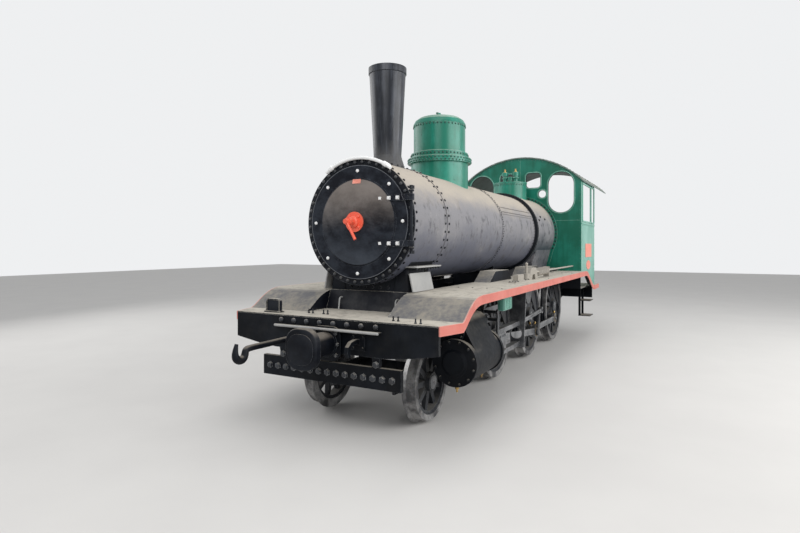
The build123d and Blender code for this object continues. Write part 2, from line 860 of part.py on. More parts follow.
def make_cab_front():
    arc_points = [(y, roof_z(y, roof_thickness)) for y in range(-cab_half_width, cab_half_width + 1, 210)]
    low_y = firebox_waist_y + 12
    outline = [*arc_points, (cab_half_width, board_top_z), (low_y, board_top_z)]
    outline += [(low_y, 1262), (300, 1500), (-300, 1500), (-low_y, 1262), (-low_y, board_top_z)]
    outline += [(-cab_half_width, board_top_z)]
    sheet = cross_plate(outline, cab_front_back, cab_front_back + cab_wall)
    sheet -= firebox_body(cab_front_back - 30, cab_front_back + cab_wall + 30, 1)
    for side in (1, -1):
        low, high = sorted((side * 490, side * 934))
        sheet -= rounded_window(low, high, 2201, 2910, 221)
        low, high = sorted((side * 104, side * 366))
        sheet -= rounded_window(low, high, 2648, 2917, 66)
        sheet -= bar_x(72, cab_front_back - 20, cab_front_back + cab_wall + 20, side * 392, 2538)
        low, high = sorted((side * wheel_cut_y[0], side * wheel_cut_y[1]))
        top = board_top_z + cab_box_height - splasher_wall
        sheet -= block(cab_front_back - 20, cab_front_back + cab_wall + 20, low, high, board_top_z - 1, top)
        low, high = sorted((side * wheel_box_y, side * (cab_half_width - cab_wall)))
        apron = block(
            cab_front_back, cab_front_back + cab_wall, low, high, tail_top_z - floor_thickness, board_top_z
        )
        sheet += apron
    reach = 2 * cab_half_width
    sides = (cab_front_back - 1, cab_front_back + cab_wall + 1)
    panels = []
    for side in (1, -1):
        low, high = sorted((0, side * reach))
        panels.append(sheet & block(*sides, low, high, waist_z, roof_peak_z))
        panels.append(sheet & block(*sides, low, high, 0, waist_z))
    keep("cab_front", *panels)

    ring = firebox_body(cab_front_back - 14, cab_front_back, 50)
    ring -= firebox_body(cab_front_back - 30, cab_front_back + cab_wall, 1)
    ring -= block(cab_front_back - 40, cab_front_back + 20, -1200, 1200, 0, 1330)
    keep("cab_front_angle", ring)


def make_cab_sides():
    start = cab_front_back + cab_wall
    top = roof_z(cab_half_width, roof_thickness)
    outline = [(start, top), (cab_post_back, top), (cab_post_back, tail_top_z)]
    drop_start, drop_end = tail_drop_backs
    for step in range(8, -1, -1):
        distance = drop_start + (drop_end - drop_start) * step / 8
        outline.append((distance, tail_height(distance)))
    outline.append((start, board_top_z))
    sheet = side_plate(outline, cab_half_width - cab_wall, cab_half_width)
    sheet -= block(5880, 6660, cab_half_width - 40, cab_half_width + 20, waist_z, 2688)
    sheet -= block(6740, cab_post_back - 60, cab_half_width - 40, cab_half_width + 20, waist_z, top - 60)
    keep("cab_side_left", sheet)
    keep("cab_side_right", mirrored(sheet))


def make_roof():
    half = roof_half_width
    rear = back(roof_rear_back)
    edge = roof_z(half)
    inner_edge = roof_z(half, roof_thickness)
    outer = ThreePointArc((rear, -half, edge), (rear, 0, roof_peak_z), (rear, half, edge))
    inner = ThreePointArc(
        (rear, half, inner_edge), (rear, 0, roof_peak_z - roof_thickness), (rear, -half, inner_edge),
    )
    ends = [
        Line((rear, half, edge), (rear, half, inner_edge)),
        Line((rear, -half, inner_edge), (rear, -half, edge)),
    ]
    face = make_face(Wire([outer, ends[0], inner, ends[1]]))
    roof = extrude(face, amount=roof_rear_back - cab_front_back + roof_front_overhang, dir=(1, 0, 0))
    keep("cab_roof", roof)


def make_floor():
    half = cab_half_width - cab_wall
    levels = (tail_top_z - floor_thickness, tail_top_z)
    plate = block(backhead_back + 20, board_rear_back + drag_beam_thickness, -half, half, *levels)
    front = cab_front_back + cab_wall
    for side in (1, -1):
        low, high = sorted((side * (wheel_box_y - splasher_wall), side * half))
        plate += block(front, backhead_back + 21, low, high, *levels)
        low, high = sorted((side * (firebox_waist_y + splasher_wall), side * (wheel_box_y - splasher_wall)))
        plate -= block(front - 1, wheel_box_rear - splasher_wall, low, high, levels[0] - 1, levels[1] + 1)
    keep("cab_floor", plate)


def make_backhead():
    plate = firebox_body(backhead_back, backhead_back + 20, -10)
    plate -= block(backhead_back - 10, backhead_back + 60, -700, 700, 0, 1000)
    ring = bar_x(190, backhead_back + 20, backhead_back + 60, 0, 1420)
    firehole = bar_x(150, backhead_back + 60, backhead_back + 84, 0, 1420)
    regulator = bar_x(30, backhead_back + 20, backhead_back + 140, 0, 2180)
    handle = block(backhead_back + 120, backhead_back + 140, -20, 330, 2160, 2200)
    gauges = []
    for y, z in ((-260, 2260), (240, 2290)):
        gauges.append(bar_x(75, backhead_back + 20, backhead_back + 75, y, z))
    glass_posts = []
    for y in (-330, -150):
        glass_posts.append(block(backhead_back + 20, backhead_back + 70, y - 18, y + 18, 1760, 2080))
    keep("backhead_fittings", fused([plate, ring, firehole, regulator, handle, *gauges, *glass_posts]))


step_leg_backs = (6700, 7000)
step_leg_thickness = 12
step_leg_ys = (830, 870)
step_tread_y = 1040
step_tread_zs = (330, 610)
step_tread_thickness = 12
step_overhang = 10


def make_steps():
    low_y, high_y = step_leg_ys
    legs = []
    for leg_back in step_leg_backs:
        legs.append(block(
            leg_back, leg_back + step_leg_thickness, low_y, high_y, step_tread_zs[0],
            tail_top_z - floor_thickness,
        ))
    front = step_leg_backs[0] - step_overhang
    rear = step_leg_backs[1] + step_leg_thickness + step_overhang
    treads = []
    for tread_z in step_tread_zs:
        treads.append(block(front, rear, low_y, step_tread_y, tread_z, tread_z + step_tread_thickness))
    keep("cab_steps", *both(fused([*legs, *treads])))


# Cylinders and motion


chest_y = cylinder_y - 60
cover_lip = 12
cover_thickness = 40
casing_inset = 90
gland_radius = 62
gland_length = 70
valve_gland_radius = 34
valve_gland_length = 80


def casing_section():
    """The section of the casing drawn tight round the cylinder and its steam chest, at x = 0."""
    centres = ((cylinder_y, driver_z, cylinder_radius), (chest_y, chest_z, chest_radius))
    rise = chest_z - driver_z
    shift = chest_y - cylinder_y
    span = hypot(rise, shift)
    lean = atan2(rise, shift)
    swing = acos((cylinder_radius - chest_radius) / span)
    corners = []
    for turn in (swing, -swing):
        for y, z, radius in centres:
            corners.append((y + radius * cos(lean + turn), z + radius * sin(lean + turn)))
    low_left, high_left, low_right, high_right = corners
    web = make_face(
        Polyline(*[(0, y, z) for y, z in (low_left, high_left, high_right, low_right)], close=True)
    )
    return web


def make_cylinders():
    front, rear = cylinder_backs
    front_in, rear_in = front + casing_inset, rear - casing_inset
    barrel = bar_x(cylinder_radius, front, rear, cylinder_y, driver_z)
    cover = bar_x(cylinder_radius + cover_lip, front, front + cover_thickness, cylinder_y, driver_z)
    rear_cover = bar_x(cylinder_radius + cover_lip, rear - cover_thickness, rear, cylinder_y, driver_z)
    cover_boss = turned_x(
        [
            (front - cover_lip, 0), (front - cover_lip, cylinder_radius * 0.5),
            (front, cylinder_radius * 0.62), (front, 0),
        ],
        cylinder_y, driver_z,
    )
    gland = bar_x(gland_radius, rear, rear + gland_length, cylinder_y, driver_z)
    chest = bar_x(chest_radius, front_in - cover_thickness, rear_in + cover_thickness, chest_y, chest_z)
    chest_lid = bar_x(
        chest_radius + cover_lip, front_in - cover_thickness, front_in - cover_thickness / 2, chest_y, chest_z
    )
    root = block(
        front_in, rear_in, frame_plate_y + frame_plate_thickness, cylinder_y, frame_arch_z, chest_z + 100,
    )
    casing = extrude(Pos(back(rear_in), 0, 0) * casing_section(), amount=rear_in - front_in, dir=(1, 0, 0))
    valve_gland = bar_x(valve_gland_radius, rear_in, rear_in + valve_gland_length, chest_y, chest_z)
    solid = fused([barrel, cover, rear_cover, cover_boss, gland, chest, chest_lid, root, casing, valve_gland])
    solid -= bar_x(
        piston_rod_radius + running_gap, front + cover_thickness + 10, rear + gland_length + 1, cylinder_y,
        driver_z,
    )
    keep("cylinder_left", solid)
    keep("cylinder_right", mirrored(solid))


def crank_pin(side):
    """Where the crank pin sits from its axle, as (x, z)."""
    angle = radians(crank_angles[side])
    return crank_radius * cos(angle), crank_radius * sin(angle)


rod_y = wheel_face_y + hub_stand + coupling_rod_gap
coupling_rod_ys = (rod_y, rod_y + coupling_rod_width)
connecting_rod_ys = (coupling_rod_ys[1] + 26, coupling_rod_ys[1] + 26 + connecting_rod_width)
crosshead_ys = (connecting_rod_ys[1] + clearance + 1, cylinder_y + 60)


def gudgeon_back(side):
    """Distance back of the crosshead's pin when the cranks stand at rest."""
    pin_x, pin_z = crank_pin(side)
    return driver_backs["driver_2"] - pin_x - sqrt(connecting_rod_length**2 - pin_z**2)


def make_crossheads():
    for side, word in ((1, "left"), (-1, "right")):
        pin_back = gudgeon_back(side)
        low, high = cylinder_y - 45, cylinder_y + 45
        body = block(
            pin_back - crosshead_length / 2, pin_back + crosshead_length / 2, low, high,
            driver_z - crosshead_height / 2, driver_z + crosshead_height / 2,
        )
        boss = bar_y(52, pin_back, crosshead_ys[0], low + 1, driver_z)
        rod_front = cylinder_backs[0] + 60 + crank_radius
        rod = bar_x(piston_rod_radius, rod_front - 120, pin_back, cylinder_y, driver_z)
        solid = fused([body, boss, rod])
        keep(f"crosshead_{word}", solid if side > 0 else mirrored(solid))


def make_guides():
    bars = []
    front, rear = guide_backs
    half = crosshead_height / 2 + seat_gap
    upper = block(
        front, rear, cylinder_y - 38, cylinder_y + 38, driver_z + half, driver_z + half + guide_height,
    )
    lower = block(
        front, rear, cylinder_y - 38, cylinder_y + 38, driver_z - half - guide_height, driver_z - half,
    )
    yoke = cross_plate(
        [(cylinder_y - 100, board_top_z - board_thickness), (cylinder_y + 120, board_top_z - board_thickness),
         (cylinder_y + 90, driver_z - half - guide_height - 20),
         (cylinder_y - 70, driver_z - half - guide_height - 20)],
        rear, rear + yoke_thickness,
    )
    yoke -= bar_x(66, rear - 1, rear + 19, cylinder_y, driver_z)
    notch = radius_rod_height / 2 + clearance
    yoke -= block(
        rear - 1, rear + yoke_thickness + 1, 0, radius_rod_ys[1] + clearance, link_pivot_z - notch,
        link_pivot_z + notch,
    )
    front_stay = []
    for low in (driver_z + half, driver_z - half - guide_height):
        front_stay.append(
            block(cylinder_backs[1], front, cylinder_y - 30, cylinder_y + 30, low, low + guide_height)
        )
    solid = fused([upper, lower, yoke, *front_stay])
    bars.extend(both(solid))
    keep("slide_bars", *bars)


def rod_with_eyes(eyes, y_low, y_high, shank_height):
    """A flat rod: eyes is a list of (distance back, z, eye radius, bore radius)."""
    pieces = []
    for eye_back, z, radius, bore in eyes:
        pieces.append(bar_y(radius, eye_back, y_low, y_high, z))
    thin = (y_high - y_low) * 0.22
    for start, end in zip(eyes, eyes[1:]):
        run = hypot(end[0] - start[0], end[1] - start[1])
        lean = degrees(acos((end[0] - start[0]) / run)) * (1 if end[1] > start[1] else -1)
        middle = (back((start[0] + end[0]) / 2), (y_low + y_high) / 2, (start[1] + end[1]) / 2)
        shank = Pos(*middle) * Rot(0, lean, 0) * Box(run, y_high - y_low - 2 * thin, shank_height)
        flute = Box(run - 2 * start[2] - 120, 12, shank_height - 30)
        face = (y_high - y_low) / 2 - thin
        shank -= Pos(*middle) * Rot(0, lean, 0) * Pos(0, face, 0) * flute
        pieces.append(shank)
    solid = fused(pieces)
    for eye_back, z, radius, bore in eyes:
        solid -= bar_y(bore, eye_back, y_low - 1, y_high + 1, z)
    return solid


def make_rods():
    for side, word in ((1, "left"), (-1, "right")):
        pin_x, pin_z = crank_pin(side)
        eyes = []
        for axle_back in driver_backs.values():
            eyes.append((axle_back - pin_x, driver_z + pin_z, rod_eye_radius, crank_pin_radius + running_gap))
        coupling = rod_with_eyes(eyes, *coupling_rod_ys, rod_shank_height)
        keep(f"coupling_rod_{word}", coupling if side > 0 else mirrored(coupling))
        main = driver_backs["driver_2"]
        ends = [
            (gudgeon_back(side), driver_z, small_eye_radius, gudgeon_radius),
            (main - pin_x, driver_z + pin_z, rod_eye_radius + 10, crank_pin_radius + running_gap),
        ]
        connecting = rod_with_eyes(ends, *connecting_rod_ys, rod_shank_height)
        keep(f"connecting_rod_{word}", connecting if side > 0 else mirrored(connecting))


# Valve gear


eccentric_rod_ys = (781, 811)
link_ys = (822, 852)
return_crank_radius = 150
return_crank_thickness = 26
return_pin_radius = 24
return_eye_radius = 44
return_arm_height = 78
eccentric_rod_height = 52
link_pivot_back = 3056
link_pivot_z = 950
link_tilt = 20
link_half_height = 205
link_half_width = 46
link_slot_half_width = 18
link_slot_half_height = 150
link_foot_radius = 309
trunnion_radius = 26
girder_ys = (862, 886)
girder_zs = (1100, 1150)
combination_lever_back = 1620
combination_lever_ys = (945, 965)
combination_lever_bottom = 500
radius_rod_ys = (792, 816)
radius_rod_height = 56
union_pin_z = 520
spindle_radius = 20
weigh_shaft = {"back": 3340, "z": 1120, "radius": 28}
lifting_back = 3190

# reversing gear on the left running board
reach_gear_y = 905
reach_base_backs = (2281, 2905)
reach_lever_back = 2890
reach_lever_top = 1405
balance_spring_backs = (3420, 3900)
balance_spring_turns = 5
balance_spring_height = 85
balance_spring_radius = 54
reach_arm_back = 3370
reach_arm_thickness = 16
reach_slot_backs = (3322, 3392)
reach_block_backs = (2459, 2700)
reach_rod_radius = 12
reach_stand_height = 150
reach_base_thickness = 12
reach_lever_socket = 85


def return_pin(side):
    """Where the return crank's pin sits from the driving axle, as (x, z)."""
    angle = radians(crank_angles[side] + 90)
    return return_crank_radius * cos(angle), return_crank_radius * sin(angle)


def link_foot(side):
    """Where the foot of the expansion link hangs at rest, as (distance back, z)."""
    lean = radians(link_tilt) * side
    return link_pivot_back - link_foot_radius * sin(lean), link_pivot_z - link_foot_radius * cos(lean)


def return_crank(side):
    """The arm and pin on the end of the long crank pin, on a left-hand wheel with its axle at the origin."""
    start, end = crank_pin(side), return_pin(side)
    low = connecting_rod_ys[1] + 4
    high = low + return_crank_thickness
    middle_y = (low + high) / 2
    run = hypot(end[0] - start[0], end[1] - start[1])
    lean = degrees(atan2(end[1] - start[1], end[0] - start[0]))
    arm = Pos((start[0] + end[0]) / 2, middle_y, (start[1] + end[1]) / 2) * Rot(0, -lean, 0) * Box(
        run, return_crank_thickness, return_arm_height
    )
    root_place = Pos(start[0], middle_y, start[1]) * Rot(90, 0, 0)
    root = root_place * Cylinder(crank_pin_radius + 12, return_crank_thickness)
    tip = Pos(end[0], middle_y, end[1]) * Rot(90, 0, 0) * Cylinder(return_eye_radius, return_crank_thickness)
    pin_end = eccentric_rod_ys[1] + 4
    pin_place = Pos(end[0], (high + pin_end) / 2, end[1]) * Rot(90, 0, 0)
    pin = pin_place * Cylinder(return_pin_radius, pin_end - high)
    return fused([arm, root, tip, pin])


def make_eccentric_rods():
    for side, word in ((1, "left"), (-1, "right")):
        pin_x, pin_z = return_pin(side)
        foot_back, foot_z = link_foot(side)
        ends = [
            (foot_back, foot_z, return_eye_radius, return_pin_radius),
            (
                driver_backs["driver_2"] - pin_x, driver_z + pin_z, return_eye_radius,
                return_pin_radius + running_gap,
            ),
        ]
        rod = rod_with_eyes(ends, *eccentric_rod_ys, eccentric_rod_height)
        keep(f"eccentric_rod_{word}", rod if side > 0 else mirrored(rod))


def expansion_link(side):
    """The curved and slotted link on its trunnion, leaning to one side of upright."""
    low, high = link_ys
    reach = link_pivot_back - combination_lever_back
    middle = Pos(reach, 0, 0)
    band = middle * ring_y(reach + link_half_width, reach - link_half_width, low, high)
    band &= Pos(0, (low + high) / 2, 0) * Box(400, high - low, 2 * link_half_height)
    slot = middle * ring_y(reach + link_slot_half_width, reach - link_slot_half_width, low - 1, high + 1)
    slot &= Pos(0, (low + high) / 2, 0) * Box(400, high - low + 2, 2 * link_slot_half_height)
    foot_place = Pos(0, (low + high) / 2, -link_foot_radius) * Rot(90, 0, 0)
    foot_boss = foot_place * Cylinder(return_eye_radius, high - low)
    neck_length = link_foot_radius - link_half_height + 30
    neck = Pos(4, (low + high) / 2, -link_foot_radius + neck_length / 2) * Box(58, high - low, neck_length)
    link = fused([band - slot, neck, foot_boss])
    link = Rot(0, -link_tilt * side, 0) * link
    outer_place = Pos(0, (high + girder_ys[0]) / 2, 0) * Rot(90, 0, 0)
    outer = outer_place * Cylinder(trunnion_radius, girder_ys[0] - high)
    cheek = Pos(0, high + 4, 0) * Rot(90, 0, 0) * Cylinder(link_half_width + 6, 8)
    return Pos(back(link_pivot_back), 0, link_pivot_z) * fused([link, outer, cheek])


def motion_girder():
    """The girder from the guide yoke to the board bracket, with the plate that holds the link's trunnion."""
    low, high = girder_ys
    front = guide_backs[1] + yoke_thickness
    rear = board_bracket_backs[1] - board_bracket_thickness / 2
    bar = block(front, rear, low, high, *girder_zs)
    half = 2.2 * link_half_width
    hanger = side_plate(
        [
            (link_pivot_back - 2 * half, girder_zs[0]),
            (link_pivot_back - half / 2, link_pivot_z - trunnion_radius - 20),
            (link_pivot_back + half / 2, link_pivot_z - trunnion_radius - 20),
            (link_pivot_back + 2 * half, girder_zs[0]),
        ],
        low, high,
    )
    return bar + hanger


def valve_rods():
    """The radius rod, valve spindle, combination lever and union link of the left side, in middle gear."""
    low, high = radius_rod_ys
    lever_back = combination_lever_back
    half = radius_rod_height / 2
    radius_rod = block(lever_back, lifting_back, low, high, link_pivot_z - half, link_pivot_z + half)
    for eye_back in (lever_back, lifting_back):
        radius_rod += bar_y(half + 8, eye_back, low, high, link_pivot_z)
    die = block(
        link_pivot_back - link_slot_half_width + 1, link_pivot_back + link_slot_half_width - 1, high,
        link_ys[1] - 2,
        link_pivot_z - half, link_pivot_z + half,
    )
    lever_low, lever_high = combination_lever_ys
    lever = block(
        lever_back - 20, lever_back + 20, lever_low, lever_high, combination_lever_bottom, link_pivot_z
    )
    for eye_z in (combination_lever_bottom, chest_z, link_pivot_z):
        lever += bar_y(30, lever_back, lever_low, lever_high, eye_z)
    top_pin = bar_y(16, lever_back, low, lever_high, link_pivot_z)
    spindle_start = cylinder_backs[1] - casing_inset + valve_gland_length
    spindle = bar_x(spindle_radius, spindle_start, lever_back, chest_y, chest_z)
    spindle_head = block(
        lever_back - 34, lever_back + 34, chest_y - 30, chest_y + 30, chest_z - 34, chest_z + 34,
    )
    spindle_pin = bar_y(16, lever_back, chest_y, lever_high, chest_z)
    union_low = cylinder_y + 45 + clearance
    union = side_plate(
        [
            (lever_back, combination_lever_bottom - 16), (lever_back, combination_lever_bottom + 16),
            (gudgeon_back(1), union_pin_z + 16), (gudgeon_back(1), union_pin_z - 16),
        ],
        lever_high, lever_high + 14,
    )
    union += bar_y(26, lever_back, lever_high, lever_high + 14, combination_lever_bottom)
    union += bar_y(26, gudgeon_back(1), union_low, lever_high + 14, union_pin_z)
    return fused([radius_rod, die, lever, top_pin, spindle, spindle_head, spindle_pin, union])


def weigh_shaft_arm(side):
    """The reversing shaft's outer end on the frame, its lifting arm and the link to the radius rod."""
    shaft_back, shaft_z, shaft_radius = weigh_shaft["back"], weigh_shaft["z"], weigh_shaft["radius"]
    low, high = radius_rod_ys
    if side > 0:
        reach_arm = side_plate(
            [
                (shaft_back - 20, shaft_z), (reach_arm_back - 15, board_top_z + balance_spring_height + 20),
                (reach_arm_back + 15, board_top_z + balance_spring_height + 20), (shaft_back + 20, shaft_z),
            ],
            reach_gear_y - reach_arm_thickness / 2, reach_gear_y + reach_arm_thickness / 2,
        )
        reach_arm += bar_y(shaft_radius, shaft_back, high, reach_gear_y + reach_arm_thickness / 2, shaft_z)
    frame_face = frame_plate_y + frame_plate_thickness
    shaft = bar_y(shaft_radius, shaft_back, frame_face, high, shaft_z)
    bearing = bar_y(2 * shaft_radius, shaft_back, frame_face, frame_face + 30, shaft_z)
    arm = block(lifting_back, shaft_back, low, high, shaft_z - 26, shaft_z + 26)
    arm_end = bar_y(34, lifting_back, low, high, shaft_z)
    lifting_link = block(lifting_back - 22, lifting_back + 22, low, high, link_pivot_z, shaft_z)
    pieces = [shaft, bearing, arm, arm_end, lifting_link]
    if side > 0:
        pieces.append(reach_arm)
    return fused(pieces)


def reversing_stand():
    """The reversing gear's stand, lever, balance spring and reach rod on the left running board."""
    y, top = reach_gear_y, board_top_z
    base_front, base_rear = reach_base_backs
    base = block(base_front, base_rear, y - 45, y + 45, top, top + reach_base_thickness)
    box = block(*reach_block_backs, y - 40, y + 20, top, top + reach_lever_socket)
    socket = bar_z(38, reach_lever_back, y, top, top + reach_lever_socket)
    lever = bar_z(13, reach_lever_back, y, top + reach_lever_socket - 1, reach_lever_top)
    knob = Pos(back(reach_lever_back), y, reach_lever_top) * Sphere(19)
    rise = reach_stand_height
    stand = side_plate(
        [
            (base_rear, top), (base_rear + 110, top + rise), (base_rear + 330, top + rise),
            (base_rear + 430, top),
        ],
        y - 30, y + 30,
    )
    stand -= side_plate(
        [
            (base_rear + 130, top), (base_rear + 170, top + 65), (base_rear + 270, top + 65),
            (base_rear + 300, top),
        ],
        y - 31, y + 31,
    )
    spring_start, spring_end = balance_spring_backs
    spring_z = top + balance_spring_height
    rod = bar_x(reach_rod_radius, base_rear + 300, cab_front_back, y, spring_z)
    coils = []
    pitch = (spring_end - spring_start) / balance_spring_turns
    for number in range(balance_spring_turns):
        place = Pos(back(spring_start + pitch * (number + 0.5)), y, spring_z)
        coils.append(place * Rot(0, 90 - 22, 0) * Cylinder(balance_spring_radius, 22))
    post = block(spring_end, spring_end + 20, y - 40, y + 40, top, spring_z + balance_spring_radius)
    return fused([base, box, socket, lever, knob, stand, rod, *coils, post])


def make_valve_gear():
    pieces = []
    for side in (1, -1):
        parts = [expansion_link(side), motion_girder(), valve_rods(), weigh_shaft_arm(side)]
        if side > 0:
            parts.append(reversing_stand())
        assembly = fused(parts)
        pieces.append(assembly if side > 0 else mirrored(assembly))
    keep("valve_gear", *pieces)


# Brakes


brake_ys = (523, 590)
brake_shoe_thickness = 45
brake_shoe_angle = -14
brake_shoe_half_angle = 17
brake_hanger_back = 625
brake_pin_z = 960
brake_beam_z = 395
brake_beam_radius = 20
brake_rod_radius = 14
brake_rod_rear_back = 6600


def brake_set(axle_back):
    """The brake shoes, hangers and cross beam in front of one driving axle."""
    low, high = brake_ys
    inner = driver_tread / 2 + clearance
    outer = inner + brake_shoe_thickness
    wedge = 2 * outer
    angle_low = radians(brake_shoe_angle - brake_shoe_half_angle)
    angle_high = radians(brake_shoe_angle + brake_shoe_half_angle)
    sector = make_face(Polyline(
        (0, low - 1, 0), (wedge * cos(angle_low), low - 1, wedge * sin(angle_low)),
        (wedge * cos(angle_high), low - 1, wedge * sin(angle_high)), close=True,
    ))
    shoe = ring_y(outer, inner, low, high) & extrude(sector, amount=high - low + 2, dir=(0, 1, 0))
    shoe = Pos(back(axle_back), 0, driver_z) * shoe
    hanger_back = axle_back - brake_hanger_back
    middle = (low + high) / 2
    hanger = block(hanger_back - 30, hanger_back + 16, middle - 11, middle + 11, brake_beam_z, brake_pin_z)
    pin = bar_y(20, hanger_back - 7, frame_plate_y + frame_plate_thickness, high, brake_pin_z)
    eye = bar_y(34, hanger_back - 7, middle - 11, middle + 11, brake_pin_z)
    side = fused([shoe, hanger, pin, eye])
    beam = bar_y(brake_beam_radius, hanger_back - 7, -high, high, brake_beam_z)
    return [side, mirrored(side), beam]


def make_brakes():
    pieces = []
    for axle_back in driver_backs.values():
        pieces.extend(brake_set(axle_back))
    front = driver_backs["driver_1"] - brake_hanger_back
    pieces.append(bar_x(brake_rod_radius, front, brake_rod_rear_back, 0, brake_beam_z))
    keep("brake_gear", fused(pieces))


# Wheels


def ring_y(outer, inner, y_low, y_high):
    """A ring on an axis across the locomotive, centred on the origin's axle."""
    solid = Pos(0, (y_low + y_high) / 2, 0) * Rot(90, 0, 0) * Cylinder(outer, y_high - y_low)
    solid -= Pos(0, (y_low + y_high) / 2, 0) * Rot(90, 0, 0) * Cylinder(inner, y_high - y_low + 2)
    return solid


def tyre(tread_radius, thickness):
    """A left-hand tyre with its flange inside, on an axle at the origin."""
    inner = tread_radius - thickness
    outline = [
        (inner, wheel_back_y),
        (tread_radius + flange_depth - flange_chamfer, wheel_back_y),
        (tread_radius + flange_depth, wheel_back_y + flange_chamfer),
        (tread_radius, wheel_back_y + flange_thickness),
        (tread_radius - tread_taper, wheel_face_y),
        (inner, wheel_face_y),
    ]
    section = make_face(Polyline(*[(r, y, 0) for r, y in outline], close=True))
    return revolve(section, Axis.Y)


def wheel_centre(kind, tread_radius, pin_angle=None):
    """A left-hand spoked centre on an axle at the origin, with a crank boss and balance weight if driven."""
    rim_outer = tread_radius - tyre_thickness[kind]
    rim_inner = rim_outer - rim_thickness[kind]
    hub = hub_radius[kind]
    rim_low, rim_high = wheel_back_y + 14, wheel_face_y - 10
    pieces = [ring_y(rim_outer, rim_inner, rim_low, rim_high)]
    pieces.append(Pos(0, (wheel_back_y + wheel_face_y + hub_stand) / 2, 0) * Rot(90, 0, 0) * Cylinder(
        hub, tyre_width + hub_stand
    ))
    middle_y = (rim_low + rim_high) / 2
    length = rim_inner - hub + 24
    count = spoke_count[kind]
    start = pin_angle if pin_angle is not None else 0
    root_height, tip_height = (74, 46) if kind == "driver" else (58, 38)
    for number in range(count):
        angle = start + 360 * number / count
        inner_plane = Plane(origin=(hub - 12, middle_y, 0), x_dir=(0, 1, 0), z_dir=(1, 0, 0))
        outer_plane = Plane(origin=(hub - 12 + length, middle_y, 0), x_dir=(0, 1, 0), z_dir=(1, 0, 0))
        inner_end = inner_plane * Rectangle(58, root_height)
        outer_end = outer_plane * Rectangle(40, tip_height)
        spoke = loft([inner_end, outer_end])
        pieces.append(Rot(0, -angle, 0) * spoke)
    if pin_angle is not None:
        boss_place = Pos(crank_radius, (wheel_back_y + 30 + wheel_face_y + hub_stand) / 2, 0) * Rot(90, 0, 0)
        boss = boss_place * Cylinder(crank_boss_radius, tyre_width + hub_stand - 30)
        web = Pos(crank_radius / 2, middle_y + 10, 0) * Box(crank_radius, 84, 2 * crank_boss_radius - 20)
        pieces.append(Rot(0, -pin_angle, 0) * (boss + web))
        sector = 52
        low = Pos(0, middle_y, 0) * Rot(90, 0, 0) * Cylinder(rim_inner + 10, 74)
        chord = rim_inner * cos(radians(sector))
        keep_place = Pos(-(chord + rim_inner) / 2 - 10, middle_y, 0)
        keep_box = keep_place * Box(rim_inner - chord + 20, 80, 2 * rim_inner)
        pieces.append(Rot(0, -pin_angle, 0) * (low & keep_box))
    return fused(pieces)


def make_axle(name, kind, axle_back, z, tread, axle_radius, long_pin):
    """One wheelset: its tyres as one node, and its centres, axle and crank pins as another."""
    place = Pos(back(axle_back), 0, z)
    left_tyre = tyre(tread / 2, tyre_thickness[kind])
    keep(f"{name}_tyres", place * left_tyre, place * mirrored(left_tyre))
    pieces = [Rot(90, 0, 0) * Cylinder(axle_radius, 2 * wheel_back_y + 40)]
    for side in (1, -1):
        angle = crank_angles[side] if kind == "driver" else None
        centre = wheel_centre(kind, tread / 2, angle)
        pieces.append(centre if side > 0 else mirrored(centre))
        if angle is not None:
            pin_x, pin_z = crank_pin(side)
            end = connecting_rod_ys[1] if long_pin else coupling_rod_ys[1]
            stem = Pos(pin_x, side * (end + wheel_face_y) / 2, pin_z) * Rot(90, 0, 0)
            pieces.append(stem * Cylinder(crank_pin_radius, end - wheel_face_y + 8))
            if long_pin:
                crank = return_crank(side)
                pieces.append(crank if side > 0 else mirrored(crank))
    keep(f"{name}_wheels", place * fused(pieces))


def make_wheelsets():
    for name, axle_back in driver_backs.items():
        make_axle(name, "driver", axle_back, driver_z, driver_tread, driver_axle_radius, name == "driver_2")
    make_axle("leading", "leading", leading_back, leading_z, leading_tread, leading_axle_radius, False)


def make_pony():
    low, high = leading_z - 95, leading_z + 95
    side = block(
        leading_back - 260, leading_back + 260, pony_plate_y, pony_plate_y + pony_plate_thickness, low, high,
    )
    pieces = []
    arm_outline = [
        (leading_back + 200, pony_plate_y), (leading_back + 260, pony_plate_y + pony_plate_thickness),
        (pony_pivot_back, 90), (pony_pivot_back, 0), (pony_pivot_back - 120, 0),
        (leading_back + 240, pony_plate_y - 40),
    ]
    arm = extrude(
        make_face(Polyline(*[(back(b), y, pony_pivot_z - 50) for b, y in arm_outline], close=True)),
        amount=60,
        dir=(0, 0, 1),
    )
    pieces.extend(both(side))
    pieces.extend(both(arm))
    for cross in (leading_back - 250, leading_back + 235):
        pieces.append(block(cross, cross + 20, -pony_plate_y - 10, pony_plate_y + 10, low + 30, high))
    boss = bar_z(110, pony_pivot_back, 0, pony_pivot_z - 55, pony_pivot_z + 55)
    pieces.append(boss)
    frame = fused(pieces)
    frame -= bar_z(pony_pin_radius + running_gap, pony_pivot_back, 0, pony_pivot_z - 80, pony_pivot_z + 80)
    bore = leading_axle_radius + running_gap
    frame -= bar_y(bore, leading_back, -pony_plate_y - 60, pony_plate_y + 60, leading_z)
    keep("pony_frame", frame)


make_frames()
make_drag_box()
make_front_beam()
make_buffer()
make_hooks()
make_guard()
make_boards()
make_board_brackets()
make_splashers()
make_smokebox()
make_hinge_post()
make_door()
make_barrel()
make_firebox()
make_saddle()
make_chimney()
make_dome()
make_turret()
make_handrail()
make_cab_front()
make_cab_sides()
make_roof()
make_floor()
make_backhead()
make_steps()
make_cylinders()
make_crossheads()
make_guides()
make_rods()
make_wheelsets()
make_eccentric_rods()
make_valve_gear()
make_brakes()
make_pony()

os.makedirs("parts", exist_ok=True)
for name, shape in nodes.items():
    export_step(shape, f"parts/{name}.step")
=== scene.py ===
import math

